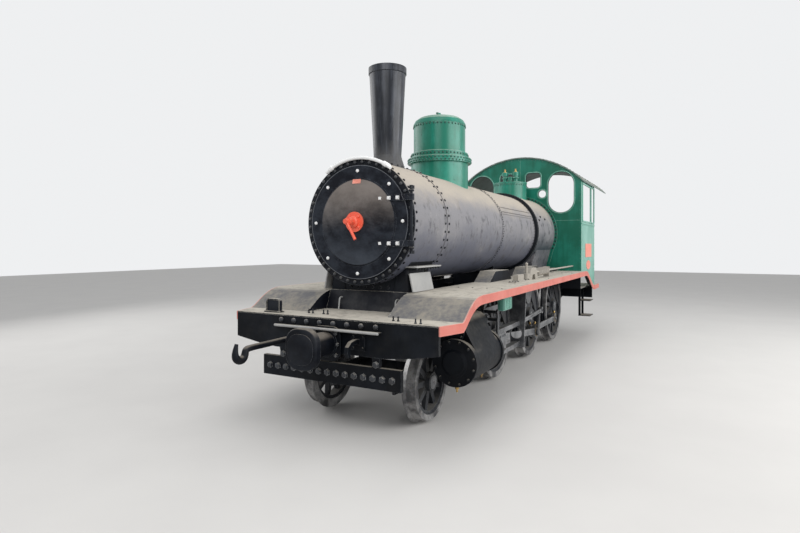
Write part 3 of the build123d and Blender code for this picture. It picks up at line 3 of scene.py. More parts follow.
import bmesh
import bpy
from mathutils import Matrix, Vector


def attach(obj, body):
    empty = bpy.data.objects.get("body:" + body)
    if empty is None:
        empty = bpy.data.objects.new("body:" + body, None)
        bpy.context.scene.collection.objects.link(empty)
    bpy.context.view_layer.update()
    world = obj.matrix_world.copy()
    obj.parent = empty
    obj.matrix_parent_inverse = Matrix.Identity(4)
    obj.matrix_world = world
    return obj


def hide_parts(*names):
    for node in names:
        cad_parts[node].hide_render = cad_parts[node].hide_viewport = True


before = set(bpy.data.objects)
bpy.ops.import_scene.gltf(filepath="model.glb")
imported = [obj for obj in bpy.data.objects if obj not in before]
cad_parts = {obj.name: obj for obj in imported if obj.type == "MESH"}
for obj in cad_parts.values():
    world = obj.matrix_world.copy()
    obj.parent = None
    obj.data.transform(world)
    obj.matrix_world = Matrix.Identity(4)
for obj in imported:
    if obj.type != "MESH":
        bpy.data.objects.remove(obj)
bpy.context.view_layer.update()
print("frame loaded")

up = Vector((0, 0, 1))
forward = Vector((1, 0, 0))
rearward = -forward
leftward = Vector((0, 1, 0))
deckFront = 3.7925          # x of the front deck's edge; "back" is measured rearwards from it
boilerHeight = 1.848        # of the boiler's axis
sideWords = {1: "left", -1: "right"}


def back(distance):
    return deckFront - distance


# Finishes

def pick(sockets, key):                       # a socket by its name or its number among those in use
    inUse = [socket for socket in sockets if socket.enabled]
    if isinstance(key, int):
        return inUse[key]
    return next(socket for socket in inUse if socket.name == key)


class Flow:                                   # one socket of a finish; arithmetic on it adds Math nodes
    def __init__(self, finish, socket):
        self.finish = finish
        self.socket = socket

    def math(self, operation, first, second):
        return self.finish.node("ShaderNodeMath", {"operation": operation}, {0: first, 1: second})

    def __add__(self, other):
        return self.math("ADD", self, other)

    def __radd__(self, other):
        return self.math("ADD", other, self)

    def __sub__(self, other):
        return self.math("SUBTRACT", self, other)

    def __rsub__(self, other):
        return self.math("SUBTRACT", other, self)

    def __mul__(self, other):
        return self.math("MULTIPLY", self, other)

    def __rmul__(self, other):
        return self.math("MULTIPLY", other, self)

    def larger(self, other):
        return self.math("MAXIMUM", self, other)

    def between(self, low, high):             # 0 below low, 1 above high, smooth between
        settings = {"interpolation_type": "SMOOTHSTEP"}
        return self.finish.node(
            "ShaderNodeMapRange", settings, {"Value": self, "From Min": low, "From Max": high}
        )


class Finish:                                 # one node tree: a material's, or the world's
    def __init__(self, owner):
        owner.use_nodes = True
        self.owner = owner
        self.tree = owner.node_tree

    def node(self, kind, settings, sockets, output=0):
        added = self.tree.nodes.new(kind)
        for key, value in settings.items():
            setattr(added, key, value)
        for key, value in sockets.items():
            socket = pick(added.inputs, key)
            if isinstance(value, Flow):
                self.tree.links.new(value.socket, socket)
            else:
                socket.default_value = value
        return Flow(self, pick(added.outputs, output))

    def place(self):
        return self.node("ShaderNodeTexCoord", {}, {}, "Object")

    def upness(self):                         # 1 on level tops, 0 on upright walls, -1 below
        return self.part(self.node("ShaderNodeTexCoord", {}, {}, "Normal"), "Z")

    def stretched(self, scale, shift=(0, 0, 0)):
        sockets = {"Vector": self.place(), "Scale": scale, "Location": shift}
        return self.node("ShaderNodeMapping", {}, sockets)

    def noise(self, scale, detail=4.0, rough=0.55, vector=None):
        sockets = {"Vector": vector or self.place(), "Scale": scale, "Detail": detail, "Roughness": rough}
        return self.node("ShaderNodeTexNoise", {}, sockets)

    def mix(self, share, first, second, blend="MIX"):
        settings = {"data_type": "RGBA", "blend_type": blend}
        return self.node("ShaderNodeMix", settings, {"Factor": share, "A": first, "B": second}, "Result")

    def part(self, vector, axis):
        return self.node("ShaderNodeSeparateXYZ", {}, {"Vector": vector}, axis)

    def edges(self, width):                   # 1 on outer edges, where the rounded normal departs
        rounded = self.node("ShaderNodeBevel", {"samples": 4}, {"Radius": width})
        plain = self.node("ShaderNodeNewGeometry", {}, {}, "Normal")
        settings = {"operation": "DOT_PRODUCT"}
        closeness = self.node("ShaderNodeVectorMath", settings, {0: rounded, 1: plain}, "Value")
        return (1 - closeness).between(0.015, 0.12)

    def bump(self, height, strength, distance):
        sockets = {"Height": height, "Strength": strength, "Distance": distance}
        return self.node("ShaderNodeBump", {}, sockets)

    def seen(self):                           # 1 on rays that show the studio itself, in view or mirrored
        camera = self.node("ShaderNodeLightPath", {}, {}, "Is Camera Ray")
        glossy = self.node("ShaderNodeLightPath", {}, {}, "Is Glossy Ray")
        through = self.node("ShaderNodeLightPath", {}, {}, "Is Transmission Ray")
        return camera.larger(glossy).larger(through)

    def give(self, **values):                 # links or sets the shader's own sockets
        shader = self.tree.nodes["Principled BSDF"]
        for key, value in values.items():
            socket = shader.inputs[key.replace("_", " ")]
            if isinstance(value, Flow):
                self.tree.links.new(value.socket, socket)
            else:
                socket.default_value = value
        return self.owner

    def paint(self, colour, roughness, bump, gloss):
        return self.give(Base_Color=colour, Roughness=roughness, Normal=bump, Specular_IOR_Level=gloss)


def newFinish(name):
    return Finish(bpy.data.materials.new(name))


def rgb(red, green, blue):
    return (red, green, blue, 1.0)


finishColours = {
    "frameBlack": {
        "base": rgb(0.002, 0.003, 0.005), "second": rgb(0.008, 0.010, 0.014), "dust": rgb(0.30, 0.27, 0.225),
        "onTop": 0.80, "onSides": 0.02, "roughness": (0.34, 0.60), "grain": 26, "depth": 0.0016,
        "edge": rgb(0.11, 0.12, 0.13), "edgeShare": 0.6, "gloss": 0.12,
    },
    "smokeboxBlack": {
        "base": rgb(0.003, 0.004, 0.007), "second": rgb(0.013, 0.016, 0.022), "dust": rgb(0.34, 0.30, 0.25),
        "onTop": 0.50, "onSides": 0.02, "roughness": (0.34, 0.62), "grain": 34, "depth": 0.0010,
        "edge": rgb(0.18, 0.19, 0.20), "edgeShare": 0.7, "gloss": 0.14,
    },
    # the pale edge colour is a painted highlight that makes the bolt heads glint
    "boltBlack": {
        "base": rgb(0.012, 0.014, 0.019), "second": rgb(0.030, 0.034, 0.042), "dust": rgb(0.36, 0.33, 0.28),
        "onTop": 0.70, "onSides": 0.06, "roughness": (0.26, 0.46), "grain": 60, "depth": 0.0006,
        "edge": rgb(0.42, 0.43, 0.44), "edgeShare": 0.8, "gloss": 0.55,
    },
    # the pale base and edge colours partly stand for painted highlights on the bright rods
    "motionSteel": {
        "base": rgb(0.28, 0.285, 0.295), "second": rgb(0.070, 0.074, 0.082), "dust": rgb(0.28, 0.265, 0.24),
        "onTop": 0.40, "onSides": 0.06, "roughness": (0.24, 0.52), "grain": 40, "depth": 0.0008,
        "edge": rgb(0.75, 0.76, 0.77), "edgeShare": 0.85, "gloss": 0.5, "metallic": 0.75,
    },
    "gearSteel": {
        "base": rgb(0.20, 0.205, 0.215), "second": rgb(0.050, 0.054, 0.062), "dust": rgb(0.42, 0.385, 0.33),
        "onTop": 0.50, "onSides": 0.08, "roughness": (0.26, 0.54), "grain": 40, "depth": 0.0008,
        "edge": rgb(0.60, 0.61, 0.62), "edgeShare": 0.8, "gloss": 0.4, "metallic": 0.7, "dustyAbove": 1.19,
    },
    "wheelBlack": {
        "base": rgb(0.014, 0.016, 0.021), "second": rgb(0.050, 0.053, 0.058), "dust": rgb(0.28, 0.265, 0.24),
        "onTop": 0.55, "onSides": 0.12, "roughness": (0.38, 0.66), "grain": 30, "depth": 0.0016,
        "edge": rgb(0.24, 0.24, 0.24), "edgeShare": 0.7, "gloss": 0.3,
    },
    "stripRed": {
        "base": rgb(0.63, 0.185, 0.145), "second": rgb(0.54, 0.145, 0.112), "dust": rgb(0.60, 0.40, 0.34),
        "onTop": 0.60, "onSides": 0.12, "roughness": (0.38, 0.60), "grain": 20, "depth": 0.0008,
        "edge": rgb(0.90, 0.52, 0.44), "edgeShare": 0.7, "gloss": 0.4,
    },
    "handleRed": {
        "base": rgb(0.95, 0.150, 0.080), "second": rgb(0.84, 0.105, 0.055), "dust": rgb(0.92, 0.48, 0.38),
        "onTop": 0.30, "onSides": 0.05, "roughness": (0.28, 0.46), "grain": 24, "depth": 0.0006,
        "edge": rgb(0.95, 0.34, 0.22), "edgeShare": 0.6, "gloss": 0.5,
    },
    "plateRed": {
        "base": rgb(0.86, 0.30, 0.22), "second": rgb(0.78, 0.24, 0.17), "dust": rgb(0.86, 0.52, 0.43),
        "onTop": 0.40, "onSides": 0.25, "roughness": (0.40, 0.60), "grain": 24, "depth": 0.0004,
        "edge": rgb(0.92, 0.62, 0.54), "edgeShare": 0.6, "gloss": 0.4,
    },
    "railWhite": {
        "base": rgb(0.94, 0.94, 0.93), "second": rgb(0.86, 0.86, 0.85), "dust": rgb(0.70, 0.67, 0.61),
        "onTop": 0.12, "onSides": 0.05, "roughness": (0.32, 0.56), "grain": 26, "depth": 0.0006,
        "edge": rgb(0.52, 0.52, 0.50), "edgeShare": 0.22, "gloss": 0.5,
    },
    "coverGrey": {
        "base": rgb(0.40, 0.40, 0.39), "second": rgb(0.30, 0.30, 0.30), "dust": rgb(0.50, 0.465, 0.40),
        "onTop": 0.50, "onSides": 0.16, "roughness": (0.50, 0.78), "grain": 20, "depth": 0.0010,
        "edge": rgb(0.62, 0.62, 0.60), "edgeShare": 0.5, "gloss": 0.3,
    },
    # the pale edge colour is a painted highlight along the roof's edges
    "roofGrey": {
        "base": rgb(0.13, 0.17, 0.155), "second": rgb(0.085, 0.11, 0.10), "dust": rgb(0.34, 0.32, 0.27),
        "onTop": 0.70, "onSides": 0.08, "roughness": (0.50, 0.78), "grain": 12, "depth": 0.0016,
        "edge": rgb(0.60, 0.70, 0.64), "edgeShare": 1.1, "gloss": 0.3,
    },
    "fittingBrass": {
        "base": rgb(0.42, 0.28, 0.10), "second": rgb(0.20, 0.13, 0.055), "dust": rgb(0.32, 0.28, 0.22),
        "onTop": 0.40, "onSides": 0.08, "roughness": (0.26, 0.52), "grain": 30, "depth": 0.0006,
        "edge": rgb(0.70, 0.52, 0.25), "edgeShare": 0.7, "gloss": 0.5, "metallic": 0.85,
    },
    "pipeCopper": {
        "base": rgb(0.34, 0.15, 0.085), "second": rgb(0.15, 0.075, 0.05), "dust": rgb(0.30, 0.26, 0.21),
        "onTop": 0.40, "onSides": 0.08, "roughness": (0.28, 0.55), "grain": 28, "depth": 0.0006,
        "edge": rgb(0.55, 0.28, 0.17), "edgeShare": 0.6, "gloss": 0.5, "metallic": 0.85,
    },
    "dialCream": {
        "base": rgb(0.66, 0.63, 0.55), "second": rgb(0.56, 0.52, 0.44), "dust": rgb(0.45, 0.41, 0.34),
        "onTop": 0.30, "onSides": 0.10, "roughness": (0.35, 0.50), "grain": 40, "depth": 0.0002,
        "edge": rgb(0.40, 0.37, 0.30), "edgeShare": 0.4, "gloss": 0.4,
    },
}


def weathered(name, values):                  # paint or metal: blotches, dust on top, fine pits, lighter edges that are partly wear and partly painted highlight
    finish = newFinish(name)
    blotches = finish.noise(2.6, detail=6.0, rough=0.62).between(0.40, 0.66)
    specks = finish.noise(values["grain"], 5.0, 0.60)
    drift = finish.noise(4.2, detail=5.0, rough=0.65)
    level = (finish.upness() + (drift - 0.5) * 0.5).between(0.45, 0.92)
    lying = level * (0.55 + specks * 0.75) * values["onTop"]
    clinging = drift.between(0.46, 0.72) * values["onSides"]
    dust = lying.larger(clinging)
    paint = finish.mix(blotches, values["base"], values["second"])
    # lighter edges: real wear on paint, and a painted highlight where bolts and rods glint
    wearAndGlint = finish.edges(0.006) * specks.between(0.35, 0.62) * values["edgeShare"]
    paint = finish.mix(wearAndGlint, paint, values["edge"])
    metallic = values.get("metallic", 0.0)
    if "dustyAbove" in values:
        edge = values["dustyAbove"]
        height = finish.part(finish.place(), "Z")
        above = (height + (drift - 0.5) * 0.05).between(edge - 0.01, edge + 0.02)
        dust = dust.larger(above * (0.55 + specks * 0.5))
        metallic = (1 - above) * metallic
    colour = finish.mix(dust, paint, values["dust"])
    smooth, rough = values["roughness"]
    roughness = (smooth + specks * (rough - smooth)) + dust * (0.9 - rough)
    bump = finish.bump(specks + drift * 0.6, 0.35, values["depth"])
    finish.give(Metallic=metallic)
    return finish.paint(colour, roughness, bump, values["gloss"])


deckColours = {
    "black": rgb(0.004, 0.005, 0.009), "scuffed": rgb(0.014, 0.017, 0.024), "slate": rgb(0.150, 0.150, 0.156),
    "tan": rgb(0.31, 0.285, 0.24), "dust": rgb(0.50, 0.465, 0.40), "trodden": rgb(0.31, 0.285, 0.245),
    "edge": rgb(0.60, 0.57, 0.50), "gloss": 0.14,
}


def deckPaint(name, values):                  # black plate: bare walls, grey slopes, beige dust where level, a pale painted highlight along its edges
    finish = newFinish(name)
    upness = finish.upness()
    specks = finish.noise(30, detail=5.0, rough=0.62)
    drift = finish.noise(2.7, detail=6.0, rough=0.62)
    patches = finish.noise(7.5, detail=6.0, rough=0.66)
    mottle = drift * 0.6 + patches * 0.4
    slope = finish.mix((mottle + (specks - 0.5) * 0.20).between(0.36, 0.66), values["slate"], values["tan"])
    walked = (patches + (specks - 0.5) * 0.4).between(0.44, 0.76)
    level = finish.mix(walked, values["dust"], values["trodden"])
    flat = (upness + (drift - 0.5) * 0.05).between(0.94, 0.995)
    dusted = finish.mix(flat, slope, level)
    wall = finish.mix(mottle.between(0.44, 0.62), values["black"], values["scuffed"])
    standing = (upness + (drift - 0.5) * 0.2).between(0.30, 0.62)
    colour = finish.mix(standing, wall, dusted)
    # pale edges: a painted highlight
    colour = finish.mix(finish.edges(0.007) * specks.between(0.30, 0.55) * 0.85, colour, values["edge"])
    roughness = 0.42 + standing * 0.38 + specks * 0.10
    bump = finish.bump(specks + patches * 0.8, 0.35, 0.0016)
    return finish.paint(colour, roughness, bump, values["gloss"])


boilerColours = {
    # the bluish dark is a painted reflection of the floor on the sheet's underside
    "dark": rgb(0.100, 0.107, 0.140), "grey": rgb(0.235, 0.230, 0.240), "cream": rgb(0.445, 0.395, 0.33),
    "stain": rgb(0.050, 0.052, 0.062), "pale": rgb(0.40, 0.385, 0.37),
    "gloss": 0.25, "blotch": 0.70, "rub": 0.60,
}
wrapperColours = dict(
    boilerColours, dark=rgb(0.035, 0.040, 0.055), stain=rgb(0.024, 0.026, 0.034), pale=rgb(0.52, 0.505, 0.48),
    blotch=0.95, rub=0.95,
)
bandColours = dict(boilerColours, black=rgb(0.005, 0.007, 0.011), blackBehind=4.4)


def boilerSheet(name, values):                # dark sheet with a bluish painted reflection of the floor on its underside, mottled grey at its waist, cream dust on its crown
    finish = newFinish(name)
    upness = finish.upness()
    cloud = finish.noise(1.7, detail=6.0, rough=0.64, vector=finish.stretched((0.8, 1.0, 1.4)))
    runs = finish.noise(5.5, detail=6.0, rough=0.68, vector=finish.stretched((2.6, 1.0, 0.55)))
    mottle = finish.noise(8.5, detail=6.0, rough=0.70)
    specks = finish.noise(46, detail=5.0, rough=0.62)
    waist = (upness + (cloud - 0.5) * 0.9 + (mottle - 0.5) * 0.6).between(-0.62, 0.10)
    crown = (upness + (cloud - 0.5) * 0.6 + (mottle - 0.5) * 0.3).between(0.22, 0.74)
    colour = finish.mix(waist, values["dark"], values["grey"])
    blotches = (mottle * 0.6 + runs * 0.4).between(0.50, 0.62) * (1 - crown) * values["blotch"]
    colour = finish.mix(blotches, colour, values["stain"])
    rubbed = (runs * 0.5 + cloud * 0.5).between(0.54, 0.66) * waist * values["rub"]
    colour = finish.mix(rubbed, colour, values["pale"])
    colour = finish.mix(crown * (0.82 + specks * 0.22), colour, values["cream"])
    pits = finish.noise(120, detail=2.0, rough=0.5).between(0.63, 0.74)
    colour = finish.mix(pits * 0.35, colour, values["stain"])
    if "blackBehind" in values:
        edge = back(values["blackBehind"])
        behind = 1 - finish.part(finish.place(), "X").between(edge - 0.01, edge + 0.01)
        colour = finish.mix(behind.larger(finish.edges(0.003) * 0.6), colour, values["black"])
    roughness = 0.40 + waist * 0.16 + crown * 0.26 + specks * 0.1
    bump = finish.bump(specks + cloud * 1.6, 0.30, 0.0018)
    return finish.paint(colour, roughness, bump, values["gloss"])


doorColours = {
    "dark": rgb(0.003, 0.004, 0.008), "slate": rgb(0.024, 0.029, 0.039), "chalk": rgb(0.27, 0.235, 0.21),
    "haze": rgb(0.095, 0.110, 0.135), "line": rgb(0.26, 0.27, 0.29),
    "discRadius": 0.396, "rimRadius": 0.5225, "chalkHeights": (1.76, 2.20), "hazeHeights": (1.44, 1.78),
    "gloss": 0.14,
}


def doorPaint(name, values):                  # near-black paint, chalky over the top of the dished disc
    finish = newFinish(name)
    height = finish.part(finish.place(), "Z")
    middle = finish.stretched((0, 1, 1), (0, 0, -boilerHeight))
    radius = finish.node("ShaderNodeVectorMath", {"operation": "LENGTH"}, {0: middle}, "Value")
    cloud = finish.noise(2.6, detail=6.0, rough=0.62)
    rubbed = finish.noise(7.0, detail=6.0, rough=0.70, vector=finish.stretched((1.0, 0.8, 1.3)))
    specks = finish.noise(60, detail=4.0, rough=0.60)
    disc = 1 - radius.between(values["discRadius"] - 0.006, values["discRadius"])
    high = (height + (cloud - 0.5) * 0.30 + (rubbed - 0.5) * 0.16).between(*values["chalkHeights"])
    chalk = high * disc * (0.62 + rubbed * 0.45)
    paint = finish.mix((rubbed * 0.6 + cloud * 0.4).between(0.42, 0.62), values["dark"], values["slate"])
    colour = finish.mix(chalk * 0.90, paint, values["chalk"])
    # bluish haze low on the disc: partly dust, partly a painted reflection
    low = 1 - (height + (cloud - 0.5) * 0.25).between(*values["hazeHeights"])
    foot = low * disc * (0.35 + rubbed * 0.6)
    colour = finish.mix(foot * 0.75, colour, values["haze"])
    rim = radius.between(values["rimRadius"] - 0.0025, values["rimRadius"] - 0.0005)
    rim = rim * (1 - radius.between(values["rimRadius"] + 0.001, values["rimRadius"] + 0.003))
    lines = rim.larger(finish.edges(0.005) * specks.between(0.35, 0.58))
    colour = finish.mix(lines * 0.65, colour, values["line"])
    roughness = 0.38 + chalk * 0.38 + specks * 0.12
    bump = finish.bump(specks + cloud * 1.2, 0.28, 0.0012)
    return finish.paint(colour, roughness, bump, values["gloss"])


chimneyColours = {
    # the second colour paints vertical streaks of reflection, and the lip colour paints a highlight along
    # edges
    "dark": rgb(0.005, 0.007, 0.012), "wearAndGlint": rgb(0.046, 0.052, 0.066), "dust": rgb(0.13, 0.127, 0.124),
    "lip": rgb(0.12, 0.125, 0.13), "gloss": 0.32, "dustHeights": (2.42, 2.70),
}


def chimneyPaint(name, values):               # satin black with painted vertical streaks of reflection and a painted highlight along its edges, dusty near its flared foot
    finish = newFinish(name)
    height = finish.part(finish.place(), "Z")
    streaks = finish.noise(9.0, detail=5.0, rough=0.66, vector=finish.stretched((2.2, 2.2, 0.10)))
    cloud = finish.noise(5.0, detail=5.0, rough=0.60)
    specks = finish.noise(70, detail=4.0, rough=0.60)
    colour = finish.mix((streaks * 0.7 + cloud * 0.3).between(0.44, 0.64), values["dark"], values["wearAndGlint"])
    low = 1 - (height + (cloud - 0.5) * 0.35).between(*values["dustHeights"])
    lying = finish.upness().between(0.6, 0.95)
    dust = (low * 0.70).larger(lying * 0.45) * (0.6 + specks * 0.6)
    colour = finish.mix(dust, colour, values["dust"])
    colour = finish.mix(finish.edges(0.005) * specks.between(0.35, 0.55) * 0.4, colour, values["lip"])
    roughness = 0.26 + dust * 0.5 + specks * 0.10
    bump = finish.bump(specks + streaks, 0.25, 0.0012)
    return finish.paint(colour, roughness, bump, values["gloss"])


greenColours = {
    "cabGreen": {
        "deep": rgb(0.002, 0.105, 0.064), "faded": rgb(0.009, 0.165, 0.112), "pale": rgb(0.26, 0.48, 0.40),
        "chip": rgb(0.008, 0.045, 0.030), "dust": rgb(0.26, 0.32, 0.27), "roughness": 0.26, "gloss": 0.34,
        "scuff": 0.10, "black": rgb(0.004, 0.005, 0.008), "blackBelow": 1.203,
    },
    # a paler copy of the green paint: painted light on the window beads and the oil box
    "paleLitGreen": {
        "deep": rgb(0.045, 0.235, 0.165), "faded": rgb(0.120, 0.345, 0.265), "pale": rgb(0.52, 0.70, 0.63),
        "chip": rgb(0.010, 0.070, 0.050), "dust": rgb(0.46, 0.52, 0.46), "roughness": 0.26, "gloss": 0.5,
        "scuff": 0.30,
    },
    "domeGreen": {
        "deep": rgb(0.002, 0.160, 0.102), "faded": rgb(0.018, 0.255, 0.180), "pale": rgb(0.22, 0.46, 0.37),
        "chip": rgb(0.008, 0.070, 0.050), "dust": rgb(0.30, 0.38, 0.31), "roughness": 0.24, "gloss": 0.40,
        "scuff": 0.08,
    },
    # a lighter copy of the cab green: painted light where the window lights the cab sides
    "windowLitGreen": {
        "deep": rgb(0.105, 0.335, 0.255), "faded": rgb(0.200, 0.445, 0.360), "pale": rgb(0.52, 0.70, 0.63),
        "chip": rgb(0.030, 0.130, 0.095), "dust": rgb(0.40, 0.44, 0.38), "roughness": 0.30, "gloss": 0.5,
        "scuff": 0.20,
    },
    # a darker copy of the green for rivets and small parts: painted shade
    "shadedRivetGreen": {
        "deep": rgb(0.003, 0.050, 0.033), "faded": rgb(0.010, 0.105, 0.072), "pale": rgb(0.20, 0.42, 0.34),
        "chip": rgb(0.006, 0.030, 0.020), "dust": rgb(0.30, 0.36, 0.30), "roughness": 0.30, "gloss": 0.4,
        "scuff": 0.12,
    },
}


def greenPaint(name, values):                 # gloss green, faded in clouds, chipped, with pale edges that are partly wear and partly painted highlight
    finish = newFinish(name)
    cloud = finish.noise(2.4, detail=6.0, rough=0.60)
    streaks = finish.noise(8.0, detail=5.0, rough=0.60, vector=finish.stretched((1.4, 1.4, 0.16)))
    specks = finish.noise(55, detail=4.0, rough=0.60)
    chips = finish.noise(24, detail=3.0, rough=0.55).between(0.685, 0.72)
    scuffs = finish.noise(90, detail=3.0, rough=0.6).between(0.64, 0.72)
    colour = finish.mix((cloud * 0.6 + streaks * 0.4).between(0.42, 0.62), values["deep"], values["faded"])
    # pale edges: partly worn paint, partly a painted highlight
    colour = finish.mix(finish.edges(0.008) * specks.between(0.25, 0.50) * 0.9, colour, values["pale"])
    colour = finish.mix(scuffs * values["scuff"], colour, values["pale"])
    colour = finish.mix(chips * 0.8, colour, values["chip"])
    lying = (finish.upness() + (cloud - 0.5) * 0.4).between(0.50, 0.95) * (0.45 + specks * 0.5)
    colour = finish.mix(lying, colour, values["dust"])
    if "blackBelow" in values:
        edge = values["blackBelow"]
        below = 1 - finish.part(finish.place(), "Z").between(edge - 0.003, edge + 0.003)
        colour = finish.mix(below, colour, values["black"])
    roughness = values["roughness"] + specks * 0.14 + lying * 0.4 + chips * 0.2
    bump = finish.bump(specks + cloud * 0.8 - chips * 0.6, 0.22, 0.0010)
    return finish.paint(colour, roughness, bump, values["gloss"])


tyreColours = {
    "bright": rgb(0.38, 0.375, 0.37), "dark": rgb(0.075, 0.076, 0.080), "rust": rgb(0.14, 0.078, 0.05),
    "metallic": 0.55,
}


def tyreSteel(name, values):                  # dull rolled steel with oil, dust and a little rust
    finish = newFinish(name)
    cloud = finish.noise(5.0, detail=5.0, rough=0.62)
    specks = finish.noise(60, detail=4.0, rough=0.60)
    colour = finish.mix(cloud.between(0.36, 0.62), values["bright"], values["dark"])
    colour = finish.mix(specks.between(0.56, 0.70) * 0.5, colour, values["rust"])
    roughness = 0.36 + cloud * 0.3
    bump = finish.bump(specks, 0.25, 0.0010)
    return finish.give(Base_Color=colour, Roughness=roughness, Normal=bump, Metallic=values["metallic"])


finishes = {}
for finishName, values in finishColours.items():
    finishes[finishName] = weathered(finishName, values)
for finishName, values in greenColours.items():
    finishes[finishName] = greenPaint(finishName, values)
finishes["deckPlate"] = deckPaint("deckPlate", deckColours)
sheets = {"boilerSheet": boilerColours, "wrapperSheet": wrapperColours, "bandPaint": bandColours}
for finishName, values in sheets.items():
    finishes[finishName] = boilerSheet(finishName, values)
finishes["doorPaint"] = doorPaint("doorPaint", doorColours)
finishes["chimneyPaint"] = chimneyPaint("chimneyPaint", chimneyColours)
finishes["tyreSteel"] = tyreSteel("tyreSteel", tyreColours)

finishOfNode = {
    "boilerSheet": ["smokebox_shell", "boiler_barrel"],
    "wrapperSheet": ["firebox_wrapper"],
    "bandPaint": ["boiler_bands"],
    "smokeboxBlack": ["smokebox_front", "smokebox_saddle", "door_hinge_post", "centre_buffer"],
    "doorPaint": ["smokebox_door"],
    "chimneyPaint": ["chimney"],
    "handleRed": ["door_handle"],
    "domeGreen": ["dome", "safety_valves"],
    "cabGreen": ["cab_front", "cab_front_angle"],
    "windowLitGreen": ["cab_side_left", "cab_side_right"],
    "roofGrey": ["cab_roof"],
    "stripRed": ["edge_strips"],
    "deckPlate": ["front_deck", "running_board_left", "running_board_right", "splashers", "cab_floor"],
    "fittingBrass": ["backhead_fittings"],
    "motionSteel": [
        "coupling_rod_left", "coupling_rod_right", "connecting_rod_left", "connecting_rod_right",
        "eccentric_rod_left", "eccentric_rod_right", "crosshead_left", "crosshead_right", "slide_bars",
    ],
    "gearSteel": ["valve_gear"],
    "wheelBlack": ["driver_1_wheels", "driver_2_wheels", "driver_3_wheels", "leading_wheels", "pony_frame"],
    "tyreSteel": ["driver_1_tyres", "driver_2_tyres", "driver_3_tyres", "leading_tyres"],
}
named = {}
for finishName, nodeNames in finishOfNode.items():
    for nodeName in nodeNames:
        named[nodeName] = finishName
for nodeName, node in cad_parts.items():
    finish = finishes[named.get(nodeName, "frameBlack")]
    for slot in node.material_slots:
        slot.material = finish
    if not node.material_slots:
        node.data.materials.append(finish)
print("finishes made")

# Making pieces


def everyFace(face):
    return True


def topFace(face):
    return face.normal.z > 0.9


def chooseOnly(piece):
    bpy.ops.object.select_all(action="DESELECT")
    piece.select_set(True)
    bpy.context.view_layer.objects.active = piece


def startPiece(add, name, **settings):        # a primitive, with nothing else selected
    bpy.ops.object.select_all(action="DESELECT")
    add(**settings)
    piece = bpy.context.object
    piece.name = name
    bpy.ops.object.transform_apply(location=True, rotation=True, scale=True)
    return piece


def editFaces(piece, chosen, *steps):         # edit mode on faces chosen by their place or normal
    chooseOnly(piece)
    bpy.ops.object.mode_set(mode="EDIT")
    bpy.ops.mesh.select_mode(type="FACE")
    bpy.ops.mesh.select_all(action="DESELECT")
    mesh = bmesh.from_edit_mesh(piece.data)
    for face in mesh.faces:
        face.select_set(chosen(face))
    mesh.select_flush_mode()
    bmesh.update_edit_mesh(piece.data)
    for operator, settings in steps:
        operator(**settings)
    bpy.ops.object.mode_set(mode="OBJECT")


def applied(piece, kind, **settings):         # a modifier, set and made real
    modifier = piece.modifiers.new(kind.lower(), kind)
    for key, value in settings.items():
        setattr(modifier, key, value)
    chooseOnly(piece)
    bpy.ops.object.modifier_apply(modifier=modifier.name)
    return piece


fineEdge = 0.002
smallEdge = 0.003
plainEdge = 0.004
wideEdge = 0.006


def softened(piece, width):                   # rounded edges
    return applied(piece, "BEVEL", width=width, segments=2, limit_method="ANGLE")


def placed(piece, place):
    piece.data.transform(place)
    return piece


def drawnUp(distance):
    return (bpy.ops.mesh.extrude_region_move, {"TRANSFORM_OT_translate": {"value": (0, 0, distance)}})


def aimed(point, direction, turn=0.0):        # a place at a point, its own z along a direction
    axis = Vector(direction).normalized()
    side = up.cross(axis)
    side = forward if side.length < 0.01 else side.normalized()
    facing = Matrix((side, axis.cross(side), axis)).transposed().to_4x4()
    return Matrix.Translation(point) @ facing @ Matrix.Rotation(turn, 4, "Z")


def at(distance, y, height, direction):       # the same, by its distance back
    return aimed((back(distance), y, height), direction)


def shifted(distance, y, height):             # moved there, not turned
    return Matrix.Translation((back(distance), y, height))


def turnedPiece(name, profile, sides=12):     # a disc drawn up through a list of (radius, height)
    radius, height = profile[0]
    piece = startPiece(
        bpy.ops.mesh.primitive_circle_add, name, vertices=sides, radius=radius, fill_type="NGON",
        location=(0, 0, height),
    )
    steps = []
    for nextRadius, nextHeight in profile[1:]:
        share = nextRadius / radius           # of the last ring
        steps.append(drawnUp(nextHeight - height))
        steps.append((bpy.ops.transform.resize, {"value": (share, share, 1)}))
        radius, height = nextRadius, nextHeight
    editFaces(piece, everyFace, *steps)
    return piece


def rivetHead(radius):                        # a snap head
    height = radius * 0.8
    profile = [(radius, 0), (radius, height * 0.45), (radius * 0.78, height * 0.8), (radius * 0.4, height)]
    return turnedPiece("rivet", profile, sides=9)


def boltHead(radius, sides=6):                # a chamfered head on its washer
    height = radius * 0.9
    washer = [(radius * 1.3, 0), (radius * 1.3, height * 0.15)]
    head = [(radius, height * 0.15), (radius, height * 0.85), (radius * 0.8, height)]
    return turnedPiece("bolt", washer + head, sides)


def studNut(radius):                          # a nut with the stud's end standing through it
    height = radius * 1.7
    nut = [(radius, 0), (radius, height * 0.50), (radius * 0.85, height * 0.58)]
    end = [(radius * 0.5, height * 0.58), (radius * 0.5, height * 0.95), (radius * 0.38, height)]
    return turnedPiece("stud", nut + end, sides=6)


def sheet(name, width, height):
    piece = startPiece(bpy.ops.mesh.primitive_plane_add, name, size=1)
    editFaces(piece, everyFace, (bpy.ops.transform.resize, {"value": (width, height, 1)}))
    return piece


